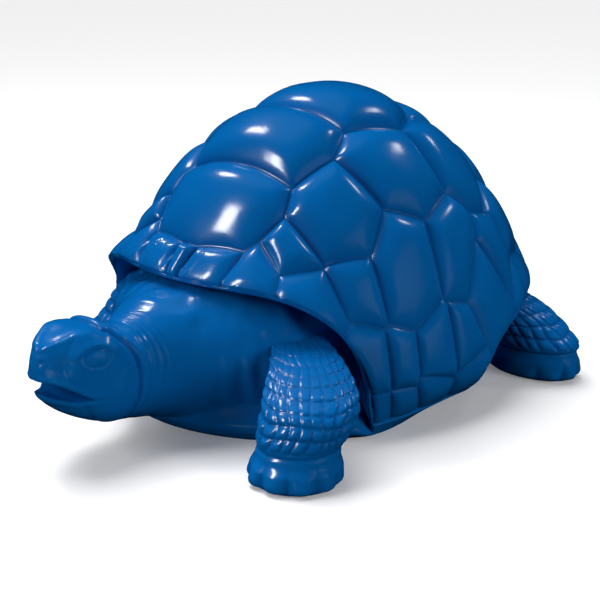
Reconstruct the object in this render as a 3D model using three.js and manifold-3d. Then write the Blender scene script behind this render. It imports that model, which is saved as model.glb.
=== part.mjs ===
// Land turtle with a domed, bubbled shell, one moulded piece, in millimetres.
// The head looks toward -Y, the animal's left side is +X and the floor is Z = 0.
import * as THREE from "three";
import { mergeVertices } from "three/addons/utils/BufferGeometryUtils.js";
import Module from "manifold-3d";

const wasm = await Module();
wasm.setup();

// Shell: the dome is the upper part of an ellipsoid, drawn in under a belt line
const SHELL_HALF_WIDTH = 382;
const SHELL_HALF_LENGTH = 450;
const SHELL_TOP = 486;
const DOME_HALF_HEIGHT = 664;
const SHELL_CENTRE_Y = 53;
const BELT_HEIGHT = 90;
const TUCK_SHARE = 0.24;
const SHOULDER_TUCK_SHARE = 0.05;
const HIP_TUCK_SHARE = 0.19;
const TUCK_POWER = 2.2;
const BELLY_HEIGHT = 0;
const BRIDGE_HEIGHT = 22;

// Rim arches over the front legs and neck, and over the hind legs and tail
const FRONT_RIM_HEIGHT = 238;
const FRONT_ARCH_ANGLE = 57;
const REAR_RIM_HEIGHT = 155;
const REAR_ARCH_ANGLE = 91;
const LIP_THICKNESS = 13;
const FRONT_FLARE = 28;
const REAR_FLARE = 3;
const FLARE_BAND = 110;
const FRONT_RECESS_SHARE = 0.17;
const REAR_RECESS_SHARE = 0.12;
const FRONT_WALL_SHARE = 0.72;
const CHEST_SHARE = 0.89;
const REAR_WALL_SHARE = 0.66;
const RUMP_SHARE = 0.62;
const SOLE_STEP_SHARE = 0.04;

// Scutes: how far a groove lies below the crown of its scute, more toward the top
const LOW_GROOVE_DEPTH = 9;
const TOP_GROOVE_DEPTH = 24;
const RIM_BAND = 60;
const RIM_BAND_SHARE = 0.55;
const RIM_GROOVE_DEPTH = 6;
const CELL_EDGE_STEP = 36;
const RIM_POINTS = 104;

// Head and neck: the beak is reached out past the front of the shell
const HEAD_SIDES = 26;
const NECK_REACH = 174;
const EYE_SIDE = 56;
const EYE_BACK = 66;
const EYE_LEVEL = 168;
const EYE_LENGTH = 34;
const EYE_HEIGHT = 23;
const EYE_DEPTH = 11;
const ORBIT_SIDE = 35;
const ORBIT_BACK = 78;
const ORBIT_LEVEL = 156;
const ORBIT_WIDTH = 62;
const ORBIT_LENGTH = 92;
const ORBIT_HEIGHT = 94;
const MOUTH_OPENING = 22;
const MOUTH_DEPTH = 58;
const MOUTH_FRONT_LEVEL = 118;
const MOUTH_BACK_LEVEL = 108;
const TAIL_SHORT_OF_RIM = 9;

// Legs
const LEG_SIDES = 22;
const TOE_SWELL = 0.07;

const DEGREE = Math.PI / 180;
const DOME_CENTRE_Z = SHELL_TOP - DOME_HALF_HEIGHT;
const MEAN_HALF = (SHELL_HALF_WIDTH + SHELL_HALF_LENGTH) / 2;
const MAP_X = SHELL_HALF_WIDTH / MEAN_HALF;
const MAP_Y = SHELL_HALF_LENGTH / MEAN_HALF;
const BEAK_Y = SHELL_CENTRE_Y - SHELL_HALF_LENGTH - NECK_REACH;
const TAIL_TIP_Y = SHELL_CENTRE_Y + SHELL_HALF_LENGTH - TAIL_SHORT_OF_RIM;

// Scute seeds in rows: azimuth from the head in degrees, then distance from the
// crown and reach, both in thousandths of the way from the crown to the floor
const VERTEBRALS = [[0, 397, 206], [0, 218, 214], [0, 14, 211], [180, 282, 139], [180, 505, 153]];
const SHOULDER_SCUTES = [[35.1, 571, 119]];
const UPPER_COSTALS = [[51.9, 437, 145], [74.7, 336, 148], [113.3, 343, 98], [154.2, 459, 122]];
const LOWER_COSTALS = [
  [54.3, 559, 105], [69.6, 552, 140], [88.1, 594, 138],
  [103.2, 703, 155], [128.4, 625, 122], [152.6, 621, 145],
];
const FRONT_MARGINALS = [[0, 533, 155], [4.8, 540, 153], [28.5, 630, 146], [37.3, 647, 147]];
const SIDE_MARGINALS = [[54.2, 766, 57], [66.5, 781, 28], [78.7, 822, 155], [85.3, 839, 184]];
const REAR_MARGINALS = [
  [97, 761, 196], [106.7, 766, 152], [125.8, 722, 139],
  [143.6, 713, 156], [154.9, 719, 147], [173.7, 723, 136],
];
const SKIRT_SCUTES = [[56.6, 957, 108], [66.9, 958, 106], [77.9, 899, 163], [85.8, 875, 193]];

const clamp = (value, low, high) => Math.min(high, Math.max(low, value));
const mix = (a, b, t) => a + (b - a) * t;
const smooth = (t) => {
  const s = clamp(t, 0, 1);
  return s * s * (3 - 2 * s);
};

// The wall is drawn in most at mid side and least behind the front leg
function tuckAt(azimuth) {
  const side = Math.abs(azimuth);
  const ahead = mix(SHOULDER_TUCK_SHARE, TUCK_SHARE, smooth((side - 50) / 36));
  return mix(ahead, HIP_TUCK_SHARE, smooth((side - 95) / 25));
}

function drawnIn(tuck, height) {
  const down = clamp((BELT_HEIGHT - height) / BELT_HEIGHT, 0, 1);
  return 1 - tuck * down ** TUCK_POWER;
}

// Meridian from the crown to the floor: arc length, share of the half sizes, height
function buildMeridian() {
  const beltAngle = Math.acos((BELT_HEIGHT - DOME_CENTRE_Z) / DOME_HALF_HEIGHT);
  const rows = [];
  for (let i = 0; i <= 80; i++) {
    const angle = (beltAngle * i) / 80;
    rows.push({ share: Math.sin(angle), z: DOME_CENTRE_Z + DOME_HALF_HEIGHT * Math.cos(angle) });
  }
  for (let i = 1; i <= 30; i++) {
    const z = BELT_HEIGHT * (1 - i / 30);
    rows.push({ share: Math.sin(beltAngle) * drawnIn(TUCK_SHARE, z), z });
  }
  rows[0].run = 0;
  for (let i = 1; i < rows.length; i++) {
    const across = (rows[i].share - rows[i - 1].share) * MEAN_HALF;
    rows[i].run = rows[i - 1].run + Math.hypot(across, rows[i].z - rows[i - 1].z);
  }
  return rows;
}

const MERIDIAN = buildMeridian();
const MERIDIAN_LENGTH = MERIDIAN[MERIDIAN.length - 1].run;

function meridianAt(run) {
  let i = 1;
  while (i < MERIDIAN.length - 1 && MERIDIAN[i].run < run) i++;
  const a = MERIDIAN[i - 1];
  const b = MERIDIAN[i];
  const t = (run - a.run) / (b.run - a.run);
  return { share: mix(a.share, b.share, t), z: mix(a.z, b.z, t) };
}

// Share of the half sizes at a height, with the tuck that belongs to the azimuth
function shareAt(azimuth, run) {
  const { share, z } = meridianAt(run);
  return (share / drawnIn(TUCK_SHARE, z)) * drawnIn(tuckAt(azimuth), z);
}

function runAtHeight(height) {
  let i = 1;
  while (i < MERIDIAN.length - 1 && MERIDIAN[i].z > height) i++;
  const a = MERIDIAN[i - 1];
  const b = MERIDIAN[i];
  return mix(a.run, b.run, (height - a.z) / (b.z - a.z));
}

// Rim height round the shell, azimuth in degrees from the head, same on both sides
function arch(angle, span, power, root) {
  return Math.max(0, 1 - (angle / span) ** power) ** (1 / root);
}

function archStrength(azimuth) {
  const side = Math.abs(azimuth);
  if (side < FRONT_ARCH_ANGLE) return arch(side, FRONT_ARCH_ANGLE, 4.6, 2);
  const behind = 180 - side;
  return behind < REAR_ARCH_ANGLE ? arch(behind, REAR_ARCH_ANGLE, 3, 4) : 0;
}

function rimHeight(azimuth) {
  const top = Math.abs(azimuth) < 75 ? FRONT_RIM_HEIGHT : REAR_RIM_HEIGHT;
  return mix(BRIDGE_HEIGHT, top, archStrength(azimuth));
}

// The rim turns outward like a visor, most over the shoulders
function flareAt(azimuth, run) {
  const side = Math.abs(azimuth);
  const reach = clamp(1 - (runAtHeight(rimHeight(azimuth)) - run) / FLARE_BAND, 0, 1) ** 2;
  const front = FRONT_FLARE * mix(0.55, 1, Math.sin(2 * side * DEGREE) ** 2) * smooth((56 - side) / 14);
  const rear = REAR_FLARE * smooth((side - 95) / 25);
  return (side < 75 ? front : rear) * reach;
}

function azimuthOf(x, y) {
  return Math.atan2(x / MAP_X, -y / MAP_Y) / DEGREE;
}

function shellPoint(x, y) {
  const azimuth = azimuthOf(x, y);
  const run = Math.hypot(x / MAP_X, y / MAP_Y);
  const { z } = meridianAt(run);
  const share = shareAt(azimuth, run);
  const out = flareAt(azimuth, run);
  return new THREE.Vector3(
    (SHELL_HALF_WIDTH * share + out) * Math.sin(azimuth * DEGREE),
    SHELL_CENTRE_Y - (SHELL_HALF_LENGTH * share + out) * Math.cos(azimuth * DEGREE),
    z,
  );
}

function shellNormal(x, y) {
  const step = 2;
  const alongX = shellPoint(x + step, y).sub(shellPoint(x - step, y));
  const alongY = shellPoint(x, y + step).sub(shellPoint(x, y - step));
  return alongX.cross(alongY).normalize();
}

// Rim line in the map, evenly spaced by length, mirrored about the midline
function mapPoint(azimuth, run) {
  return [
    run * Math.sin(azimuth * DEGREE) * MAP_X,
    -run * Math.cos(azimuth * DEGREE) * MAP_Y,
  ];
}

function rimLine() {
  const fine = [];
  for (let i = 0; i <= 1440; i++) {
    const azimuth = i / 8;
    fine.push(mapPoint(azimuth, runAtHeight(rimHeight(azimuth))));
  }
  const lengths = [0];
  for (let i = 1; i < fine.length; i++) {
    const [x, y] = fine[i];
    lengths.push(lengths[i - 1] + Math.hypot(x - fine[i - 1][0], y - fine[i - 1][1]));
  }
  const half = Math.round(RIM_POINTS / 2);
  const side = [];
  let k = 1;
  for (let i = 0; i <= half; i++) {
    const target = (lengths[lengths.length - 1] * i) / half;
    while (k < fine.length - 1 && lengths[k] < target) k++;
    const t = (target - lengths[k - 1]) / (lengths[k] - lengths[k - 1]);
    side.push([mix(fine[k - 1][0], fine[k][0], t), mix(fine[k - 1][1], fine[k][1], t)]);
  }
  side[0][0] = 0;
  side[half][0] = 0;
  const other = side.slice(1, half).reverse();
  return [...side, ...other.map(([x, y]) => [-x, y])];
}

// Scute cells: each keeps the ground where its own power distance is least
function seedList() {
  const unit = MERIDIAN_LENGTH / 1000;
  const rows = [
    VERTEBRALS, SHOULDER_SCUTES, UPPER_COSTALS, LOWER_COSTALS,
    FRONT_MARGINALS, SIDE_MARGINALS, REAR_MARGINALS, SKIRT_SCUTES,
  ];
  const seeds = [];
  for (const [azimuth, distance, reach] of rows.flat()) {
    const [x, y] = mapPoint(azimuth, distance * unit);
    const middle = azimuth === 0 || azimuth === 180;
    for (const side of middle ? [0] : [1, -1]) {
      seeds.push({ x: x * side, y, weight: (reach * unit) ** 2 });
    }
  }
  return seeds;
}

function clipPolygon(points, a, b) {
  const nx = 2 * (b.x - a.x);
  const ny = 2 * (b.y - a.y);
  const limit = b.x ** 2 + b.y ** 2 - b.weight - (a.x ** 2 + a.y ** 2 - a.weight);
  const side = ([x, y]) => nx * x + ny * y - limit;
  const kept = [];
  points.forEach((point, i) => {
    const next = points[(i + 1) % points.length];
    const here = side(point);
    const there = side(next);
    if (here <= 0) kept.push(point);
    if (here < 0 !== there < 0 && here !== there) {
      const t = here / (here - there);
      kept.push([mix(point[0], next[0], t), mix(point[1], next[1], t)]);
    }
  });
  return kept;
}

// Corners that fall close together are drawn into one, the same for every cell
function makeWelder(tolerance) {
  const known = [];
  return (point) => {
    const found = known.find((k) => Math.hypot(k[0] - point[0], k[1] - point[1]) < tolerance);
    if (found) return found;
    known.push(point);
    return point;
  };
}

function splitEdge(a, b) {
  const forward = a[0] < b[0] || (a[0] === b[0] && a[1] < b[1]);
  const [p, q] = forward ? [a, b] : [b, a];
  const count = Math.max(1, Math.round(Math.hypot(q[0] - p[0], q[1] - p[1]) / CELL_EDGE_STEP));
  const inner = [];
  for (let i = 1; i < count; i++) inner.push([mix(p[0], q[0], i / count), mix(p[1], q[1], i / count)]);
  if (!forward) inner.reverse();
  return [a, ...inner];
}

function polygonCentre(points) {
  let area = 0;
  let cx = 0;
  let cy = 0;
  points.forEach(([x, y], i) => {
    const [u, v] = points[(i + 1) % points.length];
    const cross = x * v - u * y;
    area += cross;
    cx += (x + u) * cross;
    cy += (y + v) * cross;
  });
  return [cx / (3 * area), cy / (3 * area)];
}

// Triangle soup whose shared corners are welded afterwards
class Soup {
  constructor() {
    this.positions = [];
  }

  triangle(a, b, c) {
    for (const p of [a, b, c]) this.positions.push(p.x, p.y, p.z);
  }

  quad(a, b, c, d) {
    this.triangle(a, b, c);
    this.triangle(a, c, d);
  }

  geometry() {
    const raw = new THREE.BufferGeometry();
    raw.setAttribute("position", new THREE.Float32BufferAttribute(this.positions, 3));
    const merged = mergeVertices(raw, 0.01);
    return dropFlatTriangles(merged);
  }
}

function dropFlatTriangles(geometry) {
  const index = geometry.getIndex().array;
  const kept = [];
  for (let i = 0; i < index.length; i += 3) {
    const [a, b, c] = [index[i], index[i + 1], index[i + 2]];
    if (a !== b && b !== c && c !== a) kept.push(a, b, c);
  }
  geometry.setIndex(kept);
  return geometry;
}

// Shell and body wall as one closed skin
function grooveDepthAt(x, y) {
  const level = (shellPoint(x, y).z - BELT_HEIGHT) / (SHELL_TOP - BELT_HEIGHT);
  const rimRun = runAtHeight(rimHeight(azimuthOf(x, y)));
  const fade = smooth((rimRun - Math.hypot(x / MAP_X, y / MAP_Y)) / RIM_BAND);
  return mix(LOW_GROOVE_DEPTH, TOP_GROOVE_DEPTH, smooth(level)) * mix(RIM_BAND_SHARE, 1, fade);
}

function addCell(soup, polygon, rimKeys) {
  const centre = polygonCentre(polygon);
  const rings = [[1, 1], [0.82, 0.58], [0.48, 0.18]];
  const lift = (x, y, drop) => shellPoint(x, y).addScaledVector(shellNormal(x, y), -drop);
  const loops = rings.map(([scale, drop]) =>
    polygon.map(([px, py]) => {
      const x = mix(centre[0], px, scale);
      const y = mix(centre[1], py, scale);
      const border = rimKeys.has(`${px},${py}`);
      const deep = border ? RIM_GROOVE_DEPTH : grooveDepthAt(x, y);
      return lift(x, y, deep * drop);
    }),
  );
  const crown = lift(centre[0], centre[1], 0);
  const count = polygon.length;
  for (let i = 0; i < count; i++) {
    const j = (i + 1) % count;
    for (let r = 0; r < loops.length - 1; r++) {
      soup.quad(loops[r][i], loops[r][j], loops[r + 1][j], loops[r + 1][i]);
    }
    soup.triangle(loops[loops.length - 1][i], loops[loops.length - 1][j], crown);
  }
}

// Rows below the rim: lip, recess, body wall and belly edge
function wallRows(azimuth) {
  const strength = archStrength(azimuth);
  const front = Math.abs(azimuth) < 75;
  const z = rimHeight(azimuth);
  const run = runAtHeight(z);
  const share = shareAt(azimuth, run);
  const out = flareAt(azimuth, run);
  const recess = front ? FRONT_RECESS_SHARE : REAR_RECESS_SHARE;
  const wall = front ? FRONT_WALL_SHARE : REAR_WALL_SHARE;
  const foot = front ? CHEST_SHARE : RUMP_SHARE;
  const open = smooth(strength * 1.6);
  const bridge = (t) => {
    const height = mix(BRIDGE_HEIGHT, BELLY_HEIGHT, t);
    return { share: shareAt(azimuth, runAtHeight(height)), z: height, out: 0 };
  };
  const arched = [
    { share: share - 0.012, z: z - LIP_THICKNESS, out },
    { share: share - 0.06, z: z - LIP_THICKNESS * 0.6, out: out * 0.5 },
    { share: share - recess, z: z + 4, out: 0 },
    { share: wall, z: mix(z, BELLY_HEIGHT, 0.5), out: 0 },
    { share: mix(wall, foot, 0.72), z: mix(z, BELLY_HEIGHT, 0.74), out: 0 },
    { share: foot, z: mix(z, BELLY_HEIGHT, 0.9), out: 0 },
    { share: foot - SOLE_STEP_SHARE, z: BELLY_HEIGHT, out: 0 },
  ];
  const steps = [0.16, 0.3, 0.44, 0.58, 0.72, 0.86, 1];
  return arched.map((row, i) => {
    const plain = bridge(steps[i]);
    const at = {
      share: mix(plain.share, row.share, open),
      z: mix(plain.z, row.z, open),
      out: mix(plain.out, row.out, open),
    };
    return new THREE.Vector3(
      (SHELL_HALF_WIDTH * at.share + at.out) * Math.sin(azimuth * DEGREE),
      SHELL_CENTRE_Y - (SHELL_HALF_LENGTH * at.share + at.out) * Math.cos(azimuth * DEGREE),
      at.z,
    );
  });
}

// Cells of all scutes, and the rim loop with the places where cell borders meet it
function shellCells() {
  const rim = rimLine();
  const seeds = seedList();
  const raw = seeds.map((seed) => {
    let polygon = rim;
    for (const other of seeds) {
      if (other !== seed) polygon = clipPolygon(polygon, seed, other);
    }
    return polygon;
  });
  const onRim = (point) => rim.some((a, i) => {
    const b = rim[(i + 1) % rim.length];
    const run = Math.hypot(b[0] - a[0], b[1] - a[1]);
    const along = ((point[0] - a[0]) * (b[0] - a[0]) + (point[1] - a[1]) * (b[1] - a[1])) / run;
    const off = ((point[0] - a[0]) * (b[1] - a[1]) - (point[1] - a[1]) * (b[0] - a[0])) / run;
    return Math.abs(off) < 0.001 && along > -0.001 && along < run + 0.001;
  });
  const weld = makeWelder(7);
  rim.forEach(weld);
  raw.flat().filter(onRim).forEach(weld);
  const cells = raw.map((polygon) => {
    const corners = polygon.map(weld);
    return corners.filter((p, i) => p !== corners[(i + 1) % corners.length]);
  });
  const turn = ([x, y]) => (azimuthOf(x, y) + 360) % 360;
  const loop = [...new Set(cells.flat().filter(onRim))].sort((a, b) => turn(a) - turn(b));
  return { cells: cells.filter((cell) => cell.length > 2), loop };
}

function shellGeometry() {
  const { cells, loop } = shellCells();
  const rimSet = new Set(loop.map((p) => `${p[0]},${p[1]}`));
  const soup = new Soup();
  for (const cell of cells) {
    const full = cell.flatMap((p, i) => {
      const q = cell[(i + 1) % cell.length];
      const bothRim = rimSet.has(`${p[0]},${p[1]}`) && rimSet.has(`${q[0]},${q[1]}`);
      return bothRim ? [p] : splitEdge(p, q);
    });
    addCell(soup, full, rimSet);
  }
  const columns = loop.map(([x, y]) => [
    shellPoint(x, y).addScaledVector(shellNormal(x, y), -RIM_GROOVE_DEPTH),
    ...wallRows(azimuthOf(x, y)),
  ]);
  const middle = new THREE.Vector3(0, SHELL_CENTRE_Y, BELLY_HEIGHT);
  columns.forEach((column, i) => {
    const next = columns[(i + 1) % columns.length];
    for (let r = 0; r < column.length - 1; r++) {
      soup.quad(column[r + 1], next[r + 1], next[r], column[r]);
    }
    soup.triangle(next[column.length - 1], column[column.length - 1], middle);
  });
  return soup.geometry();
}

// Closed tube through a list of rings, each a list of points in the same turn
function loftGeometry(rings) {
  const soup = new Soup();
  const centre = (ring) =>
    ring.reduce((sum, p) => sum.add(p), new THREE.Vector3()).divideScalar(ring.length);
  const sides = rings[0].length;
  for (let r = 0; r < rings.length - 1; r++) {
    for (let i = 0; i < sides; i++) {
      const j = (i + 1) % sides;
      soup.quad(rings[r][i], rings[r][j], rings[r + 1][j], rings[r + 1][i]);
    }
  }
  const first = centre(rings[0]);
  const last = centre(rings[rings.length - 1]);
  for (let i = 0; i < sides; i++) {
    const j = (i + 1) % sides;
    soup.triangle(first, rings[0][j], rings[0][i]);
    soup.triangle(last, rings[rings.length - 1][i], rings[rings.length - 1][j]);
  }
  return soup.geometry();
}

// Head and neck stations: y, half width, bottom and top heights, squareness
const HEAD_STATIONS = [
  [BEAK_Y, 7, 136, 156, 2],
  [BEAK_Y + 4, 17, 122, 173, 2.2],
  [BEAK_Y + 16, 32, 103, 190, 2.4],
  [BEAK_Y + 36, 46, 84, 200, 2.7],
  [BEAK_Y + 62, 56, 68, 207, 2.9],
  [BEAK_Y + 94, 64, 54, 207, 2.7],
  [BEAK_Y + 128, 66, 45, 192, 2.4],
  [BEAK_Y + 158, 66, 38, 187, 2.2],
  [BEAK_Y + 184, 76, 32, 194, 2.1],
  [BEAK_Y + 214, 96, 23, 208, 2.1],
  [BEAK_Y + 250, 130, 12, 214, 2.1],
  [BEAK_Y + 300, 178, 5, 222, 2.2],
  [BEAK_Y + 350, 205, 5, 224, 2.4],
  [BEAK_Y + 430, 205, 20, 224, 2.4],
];

function uprightRing(y, halfWidth, bottom, top, squareness, sides) {
  const ring = [];
  for (let i = 0; i < sides; i++) {
    const angle = (2 * Math.PI * (i + 0.5)) / sides;
    const c = Math.cos(angle);
    const s = Math.sin(angle);
    const size = (Math.abs(c) ** squareness + Math.abs(s) ** squareness) ** (-1 / squareness);
    const x = halfWidth * c * size;
    const z = (top + bottom) / 2 + ((top - bottom) / 2) * s * size;
    ring.push(new THREE.Vector3(x, y, z));
  }
  return ring.reverse();
}

function headGeometry() {
  const rings = HEAD_STATIONS.map(([y, halfWidth, bottom, top, squareness]) =>
    uprightRing(y, halfWidth, bottom, top, squareness, HEAD_SIDES));
  return loftGeometry(rings);
}

// Leg stations: height as a share of the rim above it, centre across and ahead as
// shares of the shell's half sizes, half size across and along in millimetres
const LEFT_FRONT_LEG = [
  [0, 0.751, 0.884, 59, 59],
  [0.034, 0.751, 0.884, 66, 66],
  [0.101, 0.751, 0.882, 66, 66],
  [0.16, 0.749, 0.876, 61, 61],
  [0.21, 0.749, 0.869, 60, 60],
  [0.286, 0.751, 0.851, 63, 63],
  [0.361, 0.751, 0.827, 67, 67],
  [0.437, 0.736, 0.802, 67, 67],
  [0.504, 0.696, 0.764, 62, 62],
  [0.559, 0.647, 0.724, 55, 55],
  [0.605, 0.581, 0.678, 47, 47],
  [0.639, 0.503, 0.629, 39, 39],
  [0.66, 0.367, 0.513, 30, 30],
];
const RIGHT_FRONT_LEG = [
  [0, 0.649, 0.682, 58, 58],
  [0.034, 0.649, 0.682, 66, 66],
  [0.101, 0.649, 0.682, 66, 66],
  [0.16, 0.644, 0.673, 60, 60],
  [0.218, 0.631, 0.651, 58, 58],
  [0.412, 0.568, 0.553, 56, 56],
  [0.609, 0.524, 0.473, 60, 60],
  [0.756, 0.484, 0.418, 50, 50],
  [0.861, 0.432, 0.362, 32, 32],
];
const HIND_LEG = [
  [0, 0.785, -0.438, 74, 44],
  [0.052, 0.785, -0.438, 83, 52],
  [0.181, 0.785, -0.438, 87, 55],
  [0.284, 0.780, -0.438, 84, 54],
  [0.361, 0.775, -0.438, 88, 57],
  [0.529, 0.743, -0.438, 73, 57],
  [0.677, 0.696, -0.427, 60, 56],
  [0.826, 0.623, -0.389, 52, 50],
  [0.942, 0.545, -0.327, 36, 36],
];

function flatRing(z, cx, cy, across, along, yaw, sides, toes) {
  const ring = [];
  for (let i = 0; i < sides; i++) {
    const angle = (2 * Math.PI * i) / sides;
    const ahead = Math.max(0, Math.cos(angle));
    const scallop = 1 + toes * ahead * (0.5 + 0.5 * Math.cos(7 * angle));
    const turn = yaw * DEGREE + angle;
    const x = cx + across * scallop * Math.sin(turn);
    const y = cy - along * scallop * Math.cos(turn);
    ring.push(new THREE.Vector3(x, y, z));
  }
  return ring;
}

function legGeometry(stations, rim, side, shiftY, yaw) {
  const rings = stations.map(([level, out, ahead, across, along], i) => {
    const toes = i < 3 ? TOE_SWELL : 0;
    const fade = 1 - smooth(i / (stations.length - 1) - 0.3);
    const cx = side * out * SHELL_HALF_WIDTH;
    const cy = SHELL_CENTRE_Y - ahead * SHELL_HALF_LENGTH + shiftY * fade;
    return flatRing(level * rim, cx, cy, across, along, yaw, LEG_SIDES, toes);
  });
  return loftGeometry(rings);
}

function eggGeometry(centre, halfSizes) {
  const sphere = new THREE.SphereGeometry(1, 14, 8);
  sphere.scale(...halfSizes);
  sphere.translate(...centre);
  sphere.deleteAttribute("normal");
  sphere.deleteAttribute("uv");
  return dropFlatTriangles(mergeVertices(sphere, 0.001));
}

// Tail stations: y, half width, bottom and top heights
const TAIL_STATIONS = [
  [TAIL_TIP_Y - 204, 60, 50, 150],
  [TAIL_TIP_Y - 114, 50, 55, 140],
  [TAIL_TIP_Y - 54, 32, 44, 106],
  [TAIL_TIP_Y - 16, 18, 28, 62],
  [TAIL_TIP_Y, 7, 25, 38],
];

function tailGeometry() {
  const rings = TAIL_STATIONS.map(([y, half, bottom, top]) => uprightRing(y, half, bottom, top, 2, 14));
  return loftGeometry(rings);
}

function toSolid(geometry) {
  const solid = new wasm.Manifold(new wasm.Mesh({
    numProp: 3,
    vertProperties: new Float32Array(geometry.getAttribute("position").array),
    triVerts: new Uint32Array(geometry.getIndex().array),
  }));
  return solid;
}

function mouthWedge() {
  const half = 110;
  const deep = BEAK_Y + MOUTH_DEPTH;
  const front = BEAK_Y - 12;
  const section = [
    [deep, MOUTH_BACK_LEVEL],
    [front, MOUTH_FRONT_LEVEL],
    [front, MOUTH_FRONT_LEVEL + MOUTH_OPENING],
  ];
  const left = section.map(([y, z]) => new THREE.Vector3(half, y, z));
  const right = section.map(([y, z]) => new THREE.Vector3(-half, y, z));
  const soup = new Soup();
  soup.triangle(left[0], left[2], left[1]);
  soup.triangle(right[0], right[1], right[2]);
  for (let i = 0; i < 3; i++) {
    const j = (i + 1) % 3;
    soup.quad(left[i], left[j], right[j], right[i]);
  }
  return soup.geometry();
}

function turtleSolid() {
  const legs = [
    legGeometry(LEFT_FRONT_LEG, FRONT_RIM_HEIGHT, 1, 0, 12),
    legGeometry(RIGHT_FRONT_LEG, FRONT_RIM_HEIGHT, -1, 0, -12),
    legGeometry(HIND_LEG, REAR_RIM_HEIGHT, 1, 0, 55),
    legGeometry(HIND_LEG, REAR_RIM_HEIGHT, -1, -60, -40),
  ];
  let solid = toSolid(shellGeometry());
  let head = toSolid(headGeometry()).subtract(toSolid(mouthWedge()));
  for (const side of [1, -1]) {
    const eye = eggGeometry(
      [side * EYE_SIDE, BEAK_Y + EYE_BACK, EYE_LEVEL], [EYE_DEPTH, EYE_LENGTH / 2, EYE_HEIGHT / 2]);
    const orbit = eggGeometry(
      [side * ORBIT_SIDE, BEAK_Y + ORBIT_BACK, ORBIT_LEVEL],
      [ORBIT_WIDTH / 2, ORBIT_LENGTH / 2, ORBIT_HEIGHT / 2]);
    head = head.add(toSolid(orbit)).add(toSolid(eye));
  }
  solid = solid.add(head);
  for (const leg of legs) solid = solid.add(toSolid(leg));
  solid = solid.add(toSolid(tailGeometry()));
  return solid;
}

function turtleMesh() {
  const mesh = turtleSolid().getMesh();
  const geometry = new THREE.BufferGeometry();
  geometry.setAttribute("position", new THREE.Float32BufferAttribute(mesh.vertProperties, 3));
  geometry.setIndex(Array.from(mesh.triVerts));
  geometry.computeBoundingBox();
  const middle = geometry.boundingBox.getCenter(new THREE.Vector3());
  geometry.translate(-middle.x, -middle.y, -geometry.boundingBox.min.z);
  geometry.computeVertexNormals();
  const plastic = new THREE.MeshStandardMaterial({ color: "#0a5fb4", roughness: 0.22, metalness: 0 });
  const part = new THREE.Mesh(geometry, plastic);
  part.name = "turtle";
  return part;
}

const group = new THREE.Group();
group.name = "turtle_sculpture";
group.add(turtleMesh());

export default group;
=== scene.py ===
"""Land turtle with a domed, bubbled shell: one glossy moulded figure on a pale floor.

All shapes are worked out in millimetres with the animal's head toward -Y and its left
side toward +X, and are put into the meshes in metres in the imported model's frame.
"""
import logging
import math
from dataclasses import dataclass
from enum import Enum
from functools import cached_property

import bmesh
import bpy
import numpy as np
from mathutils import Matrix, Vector

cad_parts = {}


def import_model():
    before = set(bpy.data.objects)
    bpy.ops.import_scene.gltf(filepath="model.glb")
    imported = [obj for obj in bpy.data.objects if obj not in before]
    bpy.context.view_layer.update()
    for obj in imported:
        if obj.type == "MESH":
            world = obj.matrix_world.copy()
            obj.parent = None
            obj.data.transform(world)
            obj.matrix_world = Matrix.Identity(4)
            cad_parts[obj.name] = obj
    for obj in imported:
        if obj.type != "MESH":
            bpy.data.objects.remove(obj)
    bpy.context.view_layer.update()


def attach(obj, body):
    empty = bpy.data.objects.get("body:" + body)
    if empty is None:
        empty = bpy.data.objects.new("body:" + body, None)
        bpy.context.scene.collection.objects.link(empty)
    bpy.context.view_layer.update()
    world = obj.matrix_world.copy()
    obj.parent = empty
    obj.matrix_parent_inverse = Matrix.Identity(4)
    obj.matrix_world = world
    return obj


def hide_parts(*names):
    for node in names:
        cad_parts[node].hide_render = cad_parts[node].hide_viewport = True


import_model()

NODE = "turtle"
BODY = "root"

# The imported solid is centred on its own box: where the maker's origin lies in it
CENTRE_SHIFT = np.array([1.36, 38.5, 0.0])
MM = 0.001
DEGREE = math.pi / 180
TURN = 2 * math.pi

# Reach of the weld inside one skin, and along the edges that the mouth's cut leaves
WELD_MM = 0.02
CUT_WELD_MM = 0.1

# A number, or a whole array of numbers
Values = float | np.ndarray

log = logging.getLogger("turtle")


# --- Small functions used all over -------------------------------------------------


def mix(a: Values, b: Values, t: Values) -> Values:
    """Straight blend from a at t = 0 to b at t = 1."""
    return a + (b - a) * t


def smooth(t: Values) -> Values:
    """Smooth step: 3 t squared minus 2 t cubed, held between 0 and 1."""
    s = np.clip(t, 0.0, 1.0)
    return s * s * (3.0 - 2.0 * s)


def bell(t: Values) -> Values:
    """Bell curve: e to the power of minus t squared."""
    return np.exp(-np.square(t))


def near(at: Values, middle: Values, width: float) -> Values:
    """Bell curve round a middle, one e-th of its height a width away."""
    return bell((at - middle) / width)


def past(at: Values, start: float, run: float) -> Values:
    """Smooth step up: 0 until the start, 1 from one run after it."""
    return smooth((at - start) / run)


def before(at: Values, end: float, run: float) -> Values:
    """Smooth step down: 1 until one run before the end, 0 from the end."""
    return smooth((end - at) / run)


def sine(way: Values, length: float) -> Values:
    """Sine wave of a given length along a way."""
    return np.sin(way / length * TURN)


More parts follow.
